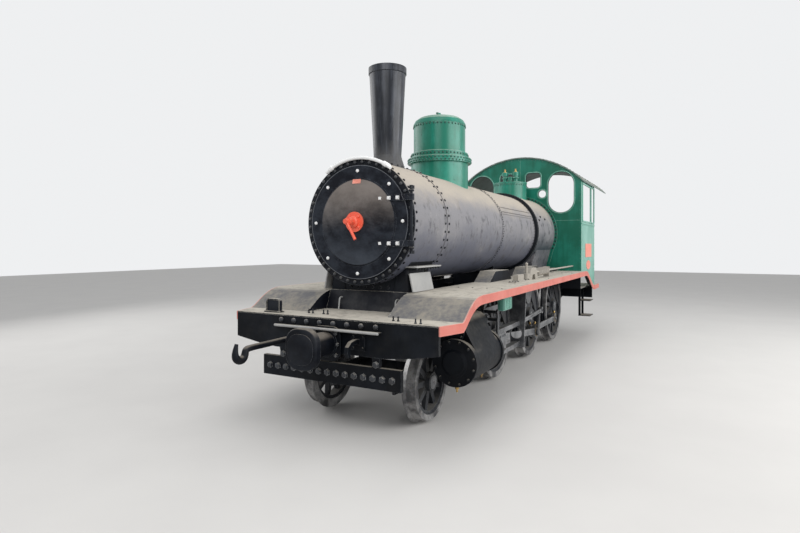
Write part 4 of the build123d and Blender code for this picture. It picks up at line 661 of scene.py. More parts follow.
def flatPlate(name, width, height, thickness, corner=0.004, steps=5):   # a plate's values keep this order
    plate = sheet(name, width, height)
    bevel = {"offset": corner, "segments": steps, "affect": "VERTICES"}
    editFaces(plate, everyFace, (bpy.ops.mesh.bevel, bevel))
    editFaces(plate, everyFace, drawnUp(thickness))
    return plate


def flatFrame(name, width, height, corner, bead, proud, steps=8):      # round an opening of that size
    ring = sheet(name, width + 2 * bead, height + 2 * bead)
    bevel = {"offset": corner + bead, "segments": steps, "affect": "VERTICES"}
    editFaces(ring, everyFace, (bpy.ops.mesh.bevel, bevel))
    opened = (bpy.ops.mesh.delete, {"type": "FACE"})
    editFaces(ring, everyFace, (bpy.ops.mesh.inset, {"thickness": bead}), opened)
    editFaces(ring, everyFace, drawnUp(proud))
    return softened(ring, min(bead, proud) * 0.3)


def band(name, centre, axis, radius, width, thickness, start=0, end=360, steps=96):    # a hoop or part of one
    piece = startPiece(
        bpy.ops.mesh.primitive_cylinder_add, name, vertices=steps, radius=radius, depth=width,
        end_fill_type="NOTHING",
    )

    def outside(face):
        middle = face.calc_center_median()
        angle = math.degrees(math.atan2(middle.y, middle.x))
        return (angle - start) % 360 > end - start

    if end - start < 360:
        editFaces(piece, outside, (bpy.ops.mesh.delete, {"type": "FACE"}))
    applied(piece, "SOLIDIFY", thickness=thickness, offset=1)
    return placed(piece, aimed(centre, axis))


def pipe(name, points, radius, sides=2, shares=()):   # a bent round bar near five points or more
    piece = startPiece(bpy.ops.curve.primitive_nurbs_path_add, name)
    bpy.ops.object.mode_set(mode="EDIT")
    bpy.ops.curve.select_all(action="DESELECT")
    bpy.ops.curve.de_select_last()
    for step in range(len(points) - len(piece.data.splines[0].points)):
        bpy.ops.curve.extrude_move(TRANSFORM_OT_translate={"value": (1, 0, 0)})
    bpy.ops.object.mode_set(mode="OBJECT")
    curve = piece.data
    for point, place in zip(curve.splines[0].points, points):
        point.co = (*place, 1)
    for point, share in zip(curve.splines[0].points, shares):
        point.radius = share
    curve.splines[0].order_u = 3
    curve.splines[0].use_endpoint_u = True
    curve.bevel_depth = radius
    curve.bevel_resolution = sides
    curve.resolution_u = 5
    curve.use_fill_caps = True
    bpy.ops.object.convert(target="MESH")
    return bpy.context.object


def joined(pieces, name):
    bpy.ops.object.select_all(action="DESELECT")
    for piece in pieces:
        piece.select_set(True)
    bpy.context.view_layer.objects.active = pieces[0]
    if len(pieces) > 1:
        bpy.ops.object.join()
    whole = bpy.context.view_layer.objects.active
    whole.name = name
    return whole


def repeated(seed, places, name):             # copies of one piece, each with its own mesh, joined
    copies = []
    for place in places:
        copy = seed.copy()
        copy.data = seed.data.copy()
        copy.data.transform(place)
        bpy.context.collection.objects.link(copy)
        copies.append(copy)
    bpy.data.objects.remove(seed)
    return joined(copies, name)


def complete(piece, finishName, body="locomotive", smooth=40):
    piece.data.materials.clear()
    piece.data.materials.append(finishes[finishName])
    chooseOnly(piece)
    bpy.ops.object.shade_smooth_by_angle(angle=math.radians(smooth))
    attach(piece, body)
    return piece


def fasteners(name, seed, places, finishName, body="locomotive"):
    return complete(repeated(seed, places, name), finishName, body)


def circlePlaces(centre, axis, radius, count, start=0.0, end=360.0, outward=True):
    places = []                               # round an axis: 0 is at the left side and 90 on top
    base = aimed(centre, axis).to_3x3()
    steps = count if end - start > 359.9 else count - 1
    for number in range(count):
        angle = math.radians(start + (end - start) * number / steps)
        spoke = base @ Vector((math.cos(angle), math.sin(angle), 0))
        places.append(aimed(Vector(centre) + spoke * radius, spoke if outward else axis))
    return places


def boilerRing(distance, radius, count, start, end):  # on a face that looks forward, round the boiler's axis
    centre = (back(distance), 0, boilerHeight)
    return circlePlaces(centre, forward, radius, count, start, end, outward=False)


def linePlaces(first, last, count, direction, turn=0.0):
    run = Vector(last) - Vector(first)
    points = [Vector(first) + run * (number / max(1, count - 1)) for number in range(count)]
    return [aimed(point, direction, turn) for point in points]


def bothSides(places):                        # the places and their mirror images across the locomotive
    turned = Matrix.Rotation(math.pi, 4, "Z")
    mirror = Matrix.Scale(-1, 4, leftward)
    flip = Matrix.Scale(-1, 4, forward)
    return places + [mirror @ place @ flip @ turned for place in places]


def boilerPoint(distance, radius, angle):     # a point round the boiler's axis, and the way out from it
    outward = Vector((0, math.cos(math.radians(angle)), math.sin(math.radians(angle))))
    return Vector((back(distance), 0, boilerHeight)) + outward * radius, outward


# Smokebox door

door = {
    "face": 0.4675, "boltCircle": 0.474, "boltCount": 8, "boltRadius": 0.0165,
    "strapFace": 0.4515, "strapHeights": (2.055, 1.651), "strapBolts": (0.253, 0.430, 3),
    "strapBoltRadius": 0.0185,
    "tipY": 0.200, "tip": [(0.027, 0), (0.027, 0.013), (0.023, 0.016)],
    "studFace": 0.438, "studs": ((-0.201, 1.904), (-0.201, 1.737)), "studRadius": 0.0075,
    "plate": (0.088, 0.041, 0.003, 0.003), "plateRim": 0.004, "plateSunk": 0.0012, "plateHeight": 2.222,
    "plateStand": 0.0155, "plateLean": -13,
    "hubFace": 0.407, "hubCircle": 0.068, "hubBolts": 4, "hubBoltRadius": 0.0125,
    "boss": [(0.052, 0), (0.052, 0.026), (0.046, 0.033), (0.030, 0.036)],
}
places = boilerRing(door["face"], door["boltCircle"], door["boltCount"], start=90, end=450)
fasteners("door_bolts", rivetHead(door["boltRadius"]), places, "railWhite", "smokebox_door")
strapPlaces = []
tipPlaces = []
firstBolt, lastBolt, boltCount = door["strapBolts"]
for height in door["strapHeights"]:
    ends = [(back(door["strapFace"]), y, height) for y in (firstBolt, lastBolt)]
    strapPlaces += linePlaces(*ends, boltCount, forward, math.radians(45))
    tipPlaces.append(at(door["face"], door["tipY"], height, forward))
squareBolt = boltHead(door["strapBoltRadius"], sides=4)
fasteners("door_strap_bolts", squareBolt, strapPlaces, "railWhite", "smokebox_door")
tip = turnedPiece("tip", door["tip"], sides=32)
fasteners("door_strap_tips", tip, tipPlaces, "doorPaint", "smokebox_door")
places = [at(door["studFace"], y, z, forward) for y, z in door["studs"]]
fasteners("door_small_studs", rivetHead(door["studRadius"]), places, "railWhite", "smokebox_door")
plate = flatPlate("door_blank_plate", *door["plate"])
editFaces(plate, topFace, (bpy.ops.mesh.inset, {"thickness": door["plateRim"], "depth": -door["plateSunk"]}))
lean = Matrix.Rotation(math.radians(door["plateLean"]), 4, "Y")
spot = shifted(door["face"] - door["plateStand"], 0, door["plateHeight"])
complete(placed(plate, spot @ lean @ aimed((0, 0, 0), forward)), "plateRed", "smokebox_door")
places = boilerRing(door["hubFace"], door["hubCircle"], door["hubBolts"], start=45, end=405)
fasteners("door_hub_bolts", boltHead(door["hubBoltRadius"]), places, "handleRed", "smokebox_door")
boss = turnedPiece("door_hub_boss", door["boss"], sides=40)
complete(placed(boss, at(door["hubFace"], 0, boilerHeight, forward)), "handleRed", "smokebox_door")

hingePost = {
    "back": 0.440, "y": 0.573, "heights": (1.600, 2.101),
    "collar": [(0.020, 0), (0.024, 0.004), (0.024, 0.016), (0.020, 0.020)],
}
places = [at(hingePost["back"], hingePost["y"], height, up) for height in hingePost["heights"]]
fasteners("hinge_post_collars", turnedPiece("collar", hingePost["collar"], sides=16), places, "smokeboxBlack")

frontRail = {
    "back": 0.4645, "radius": 0.593, "rod": 0.0165, "half": 36.5, "steps": 14, "sleeves": (-30, 30),
    "sleeve": (0.0235, 0.046), "chamfer": 0.005, "foot": (0.044, 0.030, 0.050, 0.008), "footSet": 0.010,
}
points = []
for number in range(frontRail["steps"] + 1):
    angle = 90 + frontRail["half"] * (2 * number / frontRail["steps"] - 1)
    points.append(boilerPoint(frontRail["back"], frontRail["radius"], angle)[0])
pieces = [pipe("rail", points, frontRail["rod"], sides=3)]
rod, chamfer = frontRail["rod"], frontRail["chamfer"]
wide, length = frontRail["sleeve"]
for lean in frontRail["sleeves"]:
    point, outward = boilerPoint(frontRail["back"], frontRail["radius"], 90 + lean)
    along = outward.cross(rearward)
    profile = [(rod, 0), (wide, chamfer), (wide, length - chamfer), (rod, length)]
    sleeve = placed(turnedPiece("sleeve", profile, sides=20), aimed(point - along * length / 2, along))
    foot = softened(flatPlate("foot", *frontRail["foot"], steps=3), smallEdge)
    facing = Matrix((along, outward, rearward)).transposed().to_4x4()
    placed(foot, Matrix.Translation(point + rearward * frontRail["footSet"]) @ facing)
    pieces += [sleeve, foot]
rail = complete(joined(pieces, "smokebox_front_rail"), "railWhite")
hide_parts("smokebox_handrail")
print("door fittings made")

# Rivets and seams on the boiler

boilerRivets = [                              # back, radius, count, size, from and to angle
    (0.525, 0.583, 46, 0.0135, 0, 360),
    (1.150, 0.583, 46, 0.0115, 0, 360),
    (1.220, 0.590, 46, 0.0130, 0, 360),
    (2.982, 0.581, 60, 0.0090, 0, 360),
    (3.000, 0.581, 60, 0.0090, 3, 363),
    (4.595, 0.618, 60, 0.0105, -26, 206),
    (4.520, 0.575, 60, 0.0085, -40, 220),
]
for number, (distance, radius, count, size, start, end) in enumerate(boilerRivets):
    places = circlePlaces((back(distance), 0, boilerHeight), forward, radius, count, start, end)
    fasteners(f"boiler_rivets_{number}", rivetHead(size), places, "smokeboxBlack")
frontRing = {"back": 0.484, "radius": 0.556, "count": 44, "start": 4, "size": 0.0165}
start = frontRing["start"]
places = boilerRing(frontRing["back"], frontRing["radius"], frontRing["count"], start, start + 360)
fasteners("smokebox_front_rivets", rivetHead(frontRing["size"]), places, "boltBlack")

seam = {
    "front": 3.03, "rear": 4.545, "angle": 26, "spread": 5.5, "radius": 0.575, "thickness": 0.006,
    "rows": (-0.6, 0.6), "margin": 0.03, "pitch": 0.052, "rivet": 0.0075,
}
places = []
strips = []
length = seam["rear"] - seam["front"]
centre = (back((seam["front"] + seam["rear"]) / 2), 0, boilerHeight)
radius = seam["radius"] + seam["thickness"]
for middle in (seam["angle"], 180 - seam["angle"]):
    size = (seam["radius"], length, seam["thickness"])
    reach = (middle - seam["spread"], middle + seam["spread"])
    strips.append(band("strip", centre, forward, *size, *reach, steps=144))
    for row in seam["rows"]:
        angle = middle + row * seam["spread"]
        first, outward = boilerPoint(seam["front"] + seam["margin"], radius, angle)
        last, outward = boilerPoint(seam["rear"] - seam["margin"], radius, angle)
        places += linePlaces(first, last, int(length / seam["pitch"]), outward)
complete(joined(strips, "barrel_seam_strips"), "boilerSheet", smooth=30)
fasteners("barrel_seam_rivets", rivetHead(seam["rivet"]), places, "smokeboxBlack")

wrapper = {"rivets": ((4.80, 18), (4.95, 24), (5.20, 21)), "radius": 0.605, "size": 0.019}
places = []
for distance, angle in wrapper["rivets"]:
    places.append(aimed(*boilerPoint(distance, wrapper["radius"], angle)))
fasteners("wrapper_rivets", rivetHead(wrapper["size"]), bothSides(places), "smokeboxBlack")
cabRing = {"back": 5.742, "radius": 0.632, "count": 40, "reach": (-24, 204), "size": 0.0125}
places = boilerRing(cabRing["back"], cabRing["radius"], cabRing["count"], *cabRing["reach"])
fasteners("cab_ring_bolts", boltHead(cabRing["size"]), places, "smokeboxBlack")

# Chimney, dome and safety valves

chimney = {
    "back": 1.020, "smokebox": 0.583, "stand": 0.016, "flare": 0.166, "circle": 0.1655, "footRivets": 16,
    "footRivet": 0.0085, "seamRivets": 18, "seamRivet": 0.006,
    "seam": ((0.1405, 2.55), (0.1825, 3.33)),     # behind the chimney's axis, and height
}
places = []
for number in range(chimney["footRivets"]):
    angle = 2 * math.pi * number / chimney["footRivets"]
    outward = Vector((math.cos(angle), math.sin(angle), 0))
    across = chimney["flare"] * outward.y
    height = boilerHeight + math.sqrt(chimney["smokebox"] ** 2 - across ** 2) + chimney["stand"]
    places.append(aimed(Vector((back(chimney["back"]), 0, height)) + outward * chimney["circle"], outward))
fasteners("chimney_foot_rivets", rivetHead(chimney["footRivet"]), places, "smokeboxBlack")
ends = [(back(chimney["back"] + behind), 0, height) for behind, height in chimney["seam"]]
places = linePlaces(*ends, chimney["seamRivets"], rearward)
fasteners("chimney_seam_rivets", rivetHead(chimney["seamRivet"]), places, "chimneyPaint")

dome = {
    "back": 2.285, "nutFoot": 3.198, "nut": [(0.034, 0), (0.034, 0.018), (0.028, 0.024)],
    "postBack": 2.225, "postFoot": 3.194,
    "post": [(0.013, 0), (0.013, 0.034), (0.018, 0.037), (0.018, 0.045), (0.011, 0.050)],
    "rows": [                                 # radius, height, count, size
        (0.382, 2.632, 52, 0.0100),
        (0.382, 2.662, 52, 0.0100),
        (0.345, 2.716, 46, 0.0110),
        (0.313, 3.064, 44, 0.0105),
    ],
}
for number, (radius, height, count, size) in enumerate(dome["rows"]):
    shift = 180 / count * (number % 2)
    places = circlePlaces((back(dome["back"]), 0, height), up, radius, count, shift, 360 + shift)
    fasteners(f"dome_rivets_{number}", rivetHead(size), places, "shadedRivetGreen")
nut = turnedPiece("nut", dome["nut"], sides=6)
fasteners("dome_cap_nut", nut, [at(dome["back"], 0, dome["nutFoot"], up)], "domeGreen")
post = turnedPiece("post", dome["post"], sides=12)
fasteners("dome_cap_post", post, [at(dome["postBack"], 0, dome["postFoot"], up)], "shadedRivetGreen")

turret = {
    "back": 5.170, "ring": (0.262, 36), "ringHeight": 2.640, "rivet": 0.0085, "valves": (-0.09, 0.09),
    "collarHeights": (2.686, 2.760), "spindleFoot": 2.868,
    "collar": [(0.052, 0), (0.058, 0.006), (0.058, 0.020), (0.046, 0.026)],
    "spindle": [(0.030, 0), (0.030, 0.010), (0.014, 0.014), (0.014, 0.040), (0.020, 0.044), (0.012, 0.056)],
}
places = circlePlaces((back(turret["back"]), 0, turret["ringHeight"]), up, *turret["ring"])
fasteners("turret_rivets", rivetHead(turret["rivet"]), places, "shadedRivetGreen")
low, high = turret["collarHeights"]
places = [at(turret["back"], y, low, up) for y in (*turret["valves"], 0)]
places += [at(turret["back"], y, high, up) for y in turret["valves"]]
fasteners("valve_collars", turnedPiece("collar", turret["collar"], sides=8), places, "domeGreen")
places = [at(turret["back"], y, turret["spindleFoot"], up) for y in turret["valves"]]
fasteners("valve_spindles", turnedPiece("spindle", turret["spindle"], sides=12), places, "fittingBrass")
print("boiler fittings made")

# Front end

beam = {
    "boltHeight": 0.973, "boltFirst": -0.50, "boltPitch": 0.14, "boltCount": 8, "boltRadius": 0.024,
    "guardHeight": 0.560, "guardHalf": 0.63, "guardCount": 15, "guardRadius": 0.024,
    "hangers": (-0.48, 0.48), "hangerHeight": 0.672,
    "ledgeHalf": 0.534, "ledgeReach": 0.055, "ledgeHeight": 0.932, "nosing": 0.0115, "chamfer": 0.003,
}
places = []
for number in range(beam["boltCount"]):
    places.append(at(0, beam["boltFirst"] + number * beam["boltPitch"], beam["boltHeight"], forward))
fasteners("beam_bolts", rivetHead(beam["boltRadius"]), places, "boltBlack")
across, nosing, chamfer = 2 * beam["ledgeHalf"], beam["nosing"], beam["chamfer"]
profile = [(nosing - chamfer, 0), (nosing, chamfer), (nosing, across - chamfer), (nosing - chamfer, across)]
ledge = turnedPiece("beam_ledge_nosing", profile, sides=16)
placed(ledge, at(-beam["ledgeReach"], -beam["ledgeHalf"], beam["ledgeHeight"], leftward))
complete(ledge, "coverGrey")
ends = [(back(0), y, beam["guardHeight"]) for y in (-beam["guardHalf"], beam["guardHalf"])]
places = linePlaces(*ends, beam["guardCount"], forward)
places += [at(0, y, beam["hangerHeight"], forward) for y in beam["hangers"]]
fasteners("guard_bolts", boltHead(beam["guardRadius"]), places, "boltBlack")

buffer = {
    "height": 0.809, "flange": (0.300, 0.290), "thickness": 0.022, "corner": 0.085,
    "bolts": (0.124, 0.092), "cornerShare": 0.88, "boltRadius": 0.017,
    "face": (0.262, 0.246, 0.006, 0.108), "faceReach": 0.358,
}
flange = flatPlate("buffer_flange", *buffer["flange"], buffer["thickness"], buffer["corner"], steps=8)
complete(placed(softened(flange, plainEdge), at(0, 0, buffer["height"], forward)), "frameBlack")
across, rise = buffer["bolts"]
places = []
for side in (-1, 1):
    for row in (-1, 0, 1):
        y = side * across * (1.0 if row == 0 else buffer["cornerShare"])
        places.append(at(-buffer["thickness"], y, buffer["height"] + row * rise, forward))
fasteners("buffer_bolts", studNut(buffer["boltRadius"]), places, "boltBlack")
face = softened(flatPlate("buffer_face", *buffer["face"], steps=10), fineEdge)
complete(placed(face, at(-buffer["faceReach"], 0, buffer["height"], forward)), "smokeboxBlack")

longHook = {
    "y": -0.335, "radius": 0.0255,
    "line": (                                 # back and z of the points that the bar bends near
        (0.01, 0.832), (-0.20, 0.830), (-0.40, 0.828), (-0.545, 0.829), (-0.606, 0.824), (-0.612, 0.785),
        (-0.628, 0.757), (-0.664, 0.746), (-0.702, 0.762), (-0.721, 0.810), (-0.700, 0.880),
    ),
    "shares": (1, 1, 1, 1, 1.05, 1.15, 1.22, 1.28, 1.22, 1.0, 0.55),
    "washer": [(0.070, 0), (0.070, 0.010), (0.064, 0.014), (0.042, 0.014), (0.042, 0.040), (0.036, 0.046)],
}
points = [(back(distance), longHook["y"], z) for distance, z in longHook["line"]]
bar = pipe("bar", points, longHook["radius"], sides=4, shares=longHook["shares"])
washer = turnedPiece("washer", longHook["washer"], sides=32)
placed(washer, at(0, longHook["y"], longHook["line"][0][1], forward))
hook = complete(joined([bar, washer], "drag_hook_long"), "smokeboxBlack")
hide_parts("coupling_hook_right")
hookPlate = {"reach": 0.012, "y": 0.315, "z": 0.838, "half": 0.046, "bolt": 0.012}
corners = [(across, rise) for across in (-1, 1) for rise in (-1, 1)]
places = []
for across, rise in corners:
    y = hookPlate["y"] + across * hookPlate["half"]
    z = hookPlate["z"] + rise * hookPlate["half"]
    places.append(at(-hookPlate["reach"], y, z, forward))
fasteners("hook_plate_bolts", boltHead(hookPlate["bolt"]), places, "frameBlack")

deck = {
    "studs": ((0.190, -0.344), (0.190, -0.180), (0.100, 0.585), (0.055, 0.810)), "studPitch": 0.045,
    "studFoot": 1.020, "stud": [(0.011, 0), (0.011, 0.010), (0.0065, 0.010), (0.0065, 0.038), (0.005, 0.040)],
    "handles": (-0.272, 0.346), "handleRadius": 0.0075,
    "handle": ((0.614, 1.135), (0.588, 1.140), (0.566, 1.120), (0.561, 1.072), (0.552, 1.024)),
}
places = []
for distance, y in deck["studs"]:
    for shift in (0, deck["studPitch"]):
        places.append(at(distance, y + shift, deck["studFoot"], up))
fasteners("deck_studs", turnedPiece("stud", deck["stud"], sides=8), places, "smokeboxBlack")
handles = []
for y in deck["handles"]:
    points = [(back(distance), y, z) for distance, z in deck["handle"]]
    handles.append(pipe("handle", points, deck["handleRadius"]))
complete(joined(handles, "well_handles"), "coverGrey")

lampBracket = {
    "boltBack": 0.095, "bolts": (-0.765, -0.745, -0.601, -0.581), "boltFoot": 1.032, "bolt": 0.009,
    "socket": (0.150, 0.118, 0.030, 0.024), "back": 0.110, "y": -0.673, "height": 1.079,
}
places = [at(lampBracket["boltBack"], y, lampBracket["boltFoot"], up) for y in lampBracket["bolts"]]
fasteners("lamp_bracket_bolts", boltHead(lampBracket["bolt"]), places, "frameBlack")
socket = softened(flatPlate("lamp_bracket_socket", *lampBracket["socket"]), plainEdge)
placed(socket, at(lampBracket["back"], lampBracket["y"], lampBracket["height"], forward))
complete(socket, "smokeboxBlack")

saddle = {"back": 0.670, "half": 0.375, "height": 1.238, "count": 10, "bolt": 0.0145}
ends = [(back(saddle["back"]), y, saddle["height"]) for y in (-saddle["half"], saddle["half"])]
places = linePlaces(*ends, saddle["count"], forward)
fasteners("saddle_bolts", boltHead(saddle["bolt"]), places, "smokeboxBlack")

steamCover = {
    "back": 0.840, "sheet": (0.430, 0.175, 0.016, 0.010), "sheetY": 0.466, "sheetZ": 1.290, "lean": 13,
    "pipe": (0.370, 0.185, 0.225, 0.032), "pipeY": 0.350, "foot": 1.196, "taper": (0.97, 0.72, 1),
    "flange": (0.540, 0.150, 0.014, 0.024), "flangeBack": 0.910, "flangeY": 0.455, "flangeZ": 1.428,
    "studs": 9, "studY": 0.508, "studMargin": 0.035, "stud": 0.0125,
}
covers = []
pipeBodies = []
for side in (1, -1):
    plate = softened(flatPlate("sheet", *steamCover["sheet"]), plainEdge)
    lean = Matrix.Rotation(math.radians(steamCover["lean"] * side), 4, "X")
    spot = shifted(steamCover["back"], steamCover["sheetY"] * side, steamCover["sheetZ"])
    placed(plate, spot @ lean @ aimed((0, 0, 0), leftward * side))
    flange = softened(flatPlate("flange", *steamCover["flange"]), smallEdge)
    placed(flange, shifted(steamCover["flangeBack"], steamCover["flangeY"] * side, steamCover["flangeZ"]))
    covers += [plate, flange]
    body = flatPlate("pipe", *steamCover["pipe"])
    editFaces(body, topFace, (bpy.ops.transform.resize, {"value": steamCover["taper"]}))
    spot = shifted(steamCover["back"], steamCover["pipeY"] * side, steamCover["foot"])
    placed(softened(body, wideEdge), spot)
    pipeBodies.append(body)
complete(joined(pipeBodies, "steam_pipe_bodies"), "smokeboxBlack")
cover = complete(joined(covers, "steam_covers"), "coverGrey")
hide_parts("steam_pipe_covers")
half = steamCover["flange"][0] / 2 - steamCover["studMargin"]
middle = Vector((back(steamCover["flangeBack"]), steamCover["studY"], steamCover["flangeZ"]))
ends = (middle + forward * half, middle - forward * half)
places = bothSides(linePlaces(*ends, steamCover["studs"], -up))
fasteners("pipe_cover_studs", studNut(steamCover["stud"]), places, "smokeboxBlack")
print("front end fittings made")

# Cab

cab = {
    "front": 5.756, "side": 1.050, "rivet": 0.0075,
    "frontOpenings": [                        # y and z of the middle, width, height, corner
        (0.712, 2.5555, 0.444, 0.709, 0.218),
        (0.235, 2.7825, 0.262, 0.269, 0.064),
        (0.392, 2.5380, 0.144, 0.144, 0.070),
    ],
    "frontBead": (0.016, 0.009), "lining": (0.0075, 0.022), "liningLap": 0.008, "liningBack": 0.018,
    "sideOpenings": [(6.270, 2.378, 0.780, 0.620), (6.890, 2.3833, 0.300, 0.6306)],
    "sideBead": (0.012, 0.028, 0.011, 4),
    "waist": (1.30, 0.030, 0.010, 0.012), "waistBack": 6.430, "waistHeight": 2.018,
    "sideRivets": [                           # back and z of both ends, and the count
        ((5.800, 1.270), (5.800, 2.690), 20),
        ((5.860, 1.985), (7.040, 1.985), 16),
        ((7.080, 0.960), (7.080, 2.000), 14),
    ],
    "frontRow": ((1.030, 1.270), (1.030, 2.690), 20), "frontArc": (36, 48, 132), "frontArcInset": 0.042,
}
roof = {
    "radius": 1.5199, "centre": 1.6791, "strips": (5.752, 6.600, 7.450, 8.302), "stripWidth": 0.050,
    "stripThickness": 0.004, "stripArc": (46, 134, 180), "rivetArc": (36, 48, 132), "rivet": 0.008,
}
beads = []
linings = []
lap = cab["liningLap"]
for y, z, width, height, corner in cab["frontOpenings"]:
    for side in (1, -1):
        bead = flatFrame("bead", width, height, corner, *cab["frontBead"])
        beads.append(placed(bead, at(cab["front"], y * side, z, forward)))
        lining = flatFrame("lining", width - 2 * lap, height - 2 * lap, corner - lap, *cab["lining"])
        linings.append(placed(lining, at(cab["front"] + cab["liningBack"], y * side, z, forward)))
complete(joined(beads, "cab_front_beads"), "paleLitGreen")
complete(joined(linings, "cab_front_linings"), "frameBlack")
for side, word in sideWords.items():
    frames = []
    for distance, z, width, height in cab["sideOpenings"]:
        bead = flatFrame("bead", width, height, *cab["sideBead"])
        frames.append(placed(bead, at(distance, cab["side"] * side, z, leftward * side)))
    waist = softened(flatPlate("waist", *cab["waist"]), smallEdge)
    place = at(cab["waistBack"], cab["side"] * side, cab["waistHeight"], leftward * side)
    frames.append(placed(waist, place))
    complete(joined(frames, f"cab_side_frames_{word}"), "windowLitGreen")
places = []
for first, last, count in cab["sideRivets"]:
    ends = [(back(distance), cab["side"], z) for distance, z in (first, last)]
    places += linePlaces(*ends, count, leftward)
fasteners("cab_side_rivets", rivetHead(cab["rivet"]), bothSides(places), "windowLitGreen")
centre = (back(cab["front"]), 0, roof["centre"])
radius = roof["radius"] - cab["frontArcInset"]
places = circlePlaces(centre, forward, radius, *cab["frontArc"], outward=False)
first, last, count = cab["frontRow"]
ends = [(back(cab["front"]), y, z) for y, z in (first, last)]
places += bothSides(linePlaces(*ends, count, forward))
fasteners("cab_front_rivets", rivetHead(cab["rivet"]), places, "shadedRivetGreen")

cabPlates = {
    "rectangle": (6.440, 1.550, 0.600, 0.240), "corner": 0.020, "rim": 0.016, "sunk": 0.002,
    "oval": (6.425, 1.290, 0.410, 0.164), "thickness": 0.006,
}
distance, z, width, height = cabPlates["rectangle"]
plate = flatPlate("cab_blank_plate", width, height, cabPlates["thickness"], cabPlates["corner"])
editFaces(plate, topFace, (bpy.ops.mesh.inset, {"thickness": cabPlates["rim"], "depth": -cabPlates["sunk"]}))
complete(placed(plate, at(distance, cab["side"], z, leftward)), "plateRed")
distance, z, width, height = cabPlates["oval"]
profile = [(0.5, 0), (0.5, cabPlates["thickness"]), (0.47, cabPlates["thickness"])]
oval = turnedPiece("cab_blank_oval", profile, sides=64)
placed(oval, at(distance, cab["side"], z, leftward) @ Matrix.Diagonal((width, height, 1, 1)))
complete(oval, "plateRed")

strips = []
places = []
for distance in roof["strips"]:
    centre = (back(distance), 0, roof["centre"])
    width, thickness = roof["stripWidth"], roof["stripThickness"]
    strips.append(band("strip", centre, forward, roof["radius"], width, thickness, *roof["stripArc"]))
    places += circlePlaces(centre, forward, roof["radius"] + thickness, *roof["rivetArc"])
complete(joined(strips, "roof_strips"), "roofGrey", smooth=30)
fasteners("roof_rivets", rivetHead(roof["rivet"]), places, "roofGrey")
print("cab made")

# Inside the cab

gauge = {
    "places": ((-0.260, 2.260), (0.240, 2.290)), "back": 6.135,
    "dial": [(0.066, 0), (0.066, 0.004), (0.063, 0.005)],
    "bezel": (0.064, 0.012, 0.009), "bezelSet": 0.006,
    "marks": 11, "firstMark": -135, "markTurn": 27, "longEvery": 5, "markLengths": (0.013, 0.008),
    "markWidth": 0.003, "markDepth": (0.001, 0.0006), "markRadius": 0.052, "markSet": 0.005,
    "needle": (0.0035, 0.060, 0.0014, 0.001), "needleTurn": 118, "needleRadius": 0.014, "needleSet": 0.0065,
}
dials = []
marks = []
bezels = []
for y, z in gauge["places"]:
    centre = Vector((back(gauge["back"]), y, z))
    dials.append(placed(turnedPiece("dial", gauge["dial"], sides=40), aimed(centre, rearward)))
    bezels.append(band("bezel", centre + rearward * gauge["bezelSet"], rearward, *gauge["bezel"], steps=40))
    for step in range(gauge["marks"]):
        reach = gauge["markLengths"][0 if step % gauge["longEvery"] == 0 else 1]
        tick = flatPlate("tick", gauge["markWidth"], reach, *gauge["markDepth"], steps=1)
        turn = Matrix.Rotation(math.radians(gauge["firstMark"] + gauge["markTurn"] * step), 4, "Z")
        shift = turn @ Matrix.Translation((0, gauge["markRadius"], 0))
        marks.append(placed(tick, aimed(centre + rearward * gauge["markSet"], rearward) @ shift))
    needle = flatPlate("needle", *gauge["needle"], steps=1)
    turn = Matrix.Rotation(math.radians(gauge["needleTurn"]), 4, "Z")
    shift = turn @ Matrix.Translation((0, gauge["needleRadius"], 0))
    marks.append(placed(needle, aimed(centre + rearward * gauge["needleSet"], rearward) @ shift))
complete(joined(dials, "gauge_dials"), "dialCream")
complete(joined(marks, "gauge_marks"), "frameBlack")
complete(joined(bezels, "gauge_bezels"), "fittingBrass")

backhead = {
    "fireholeHeight": 1.420, "fireholeRing": (0.172, 12), "fireholeRingBack": 6.120,
    "edgeRing": (0.545, 22, -20, 200), "edgeRingBack": 6.080, "stud": 0.011,
    "door": [(0.118, 0), (0.118, 0.010), (0.060, 0.022), (0.020, 0.026)], "doorBack": 6.144,
    "pipeRadius": 0.011,
    "pipes": [                                # back, y and z of the points that each pipe bends near
        [(6.09, -0.260, 2.185), (6.11, -0.262, 2.120), (6.12, -0.330, 2.060), (6.09, -0.352, 1.900),
         (6.09, -0.352, 1.500), (6.09, -0.342, 1.300)],
        [(6.09, 0.240, 2.215), (6.12, 0.244, 2.120), (6.13, 0.330, 2.020), (6.10, 0.352, 1.800),
         (6.10, 0.352, 1.300)],
        [(6.10, 0.050, 2.400), (6.14, 0.090, 2.380), (6.14, 0.260, 2.420), (6.10, 0.420, 2.300),
         (6.09, 0.470, 2.000), (6.09, 0.440, 1.420)],
    ],
}
centre = (back(backhead["fireholeRingBack"]), 0, backhead["fireholeHeight"])
places = circlePlaces(centre, rearward, *backhead["fireholeRing"], outward=False)
centre = (back(backhead["edgeRingBack"]), 0, boilerHeight)
places += circlePlaces(centre, rearward, *backhead["edgeRing"], outward=False)
fasteners("backhead_bolts", studNut(backhead["stud"]), places, "smokeboxBlack")
fireDoor = turnedPiece("firehole_door", backhead["door"], sides=40)
complete(placed(fireDoor, at(backhead["doorBack"], 0, backhead["fireholeHeight"], rearward)), "smokeboxBlack")
pipes = []
for number, route in enumerate(backhead["pipes"]):
    points = [(back(distance), y, z) for distance, y, z in route]
    pipes.append(pipe(f"pipe_{number}", points, backhead["pipeRadius"]))
complete(joined(pipes, "backhead_pipes"), "pipeCopper")

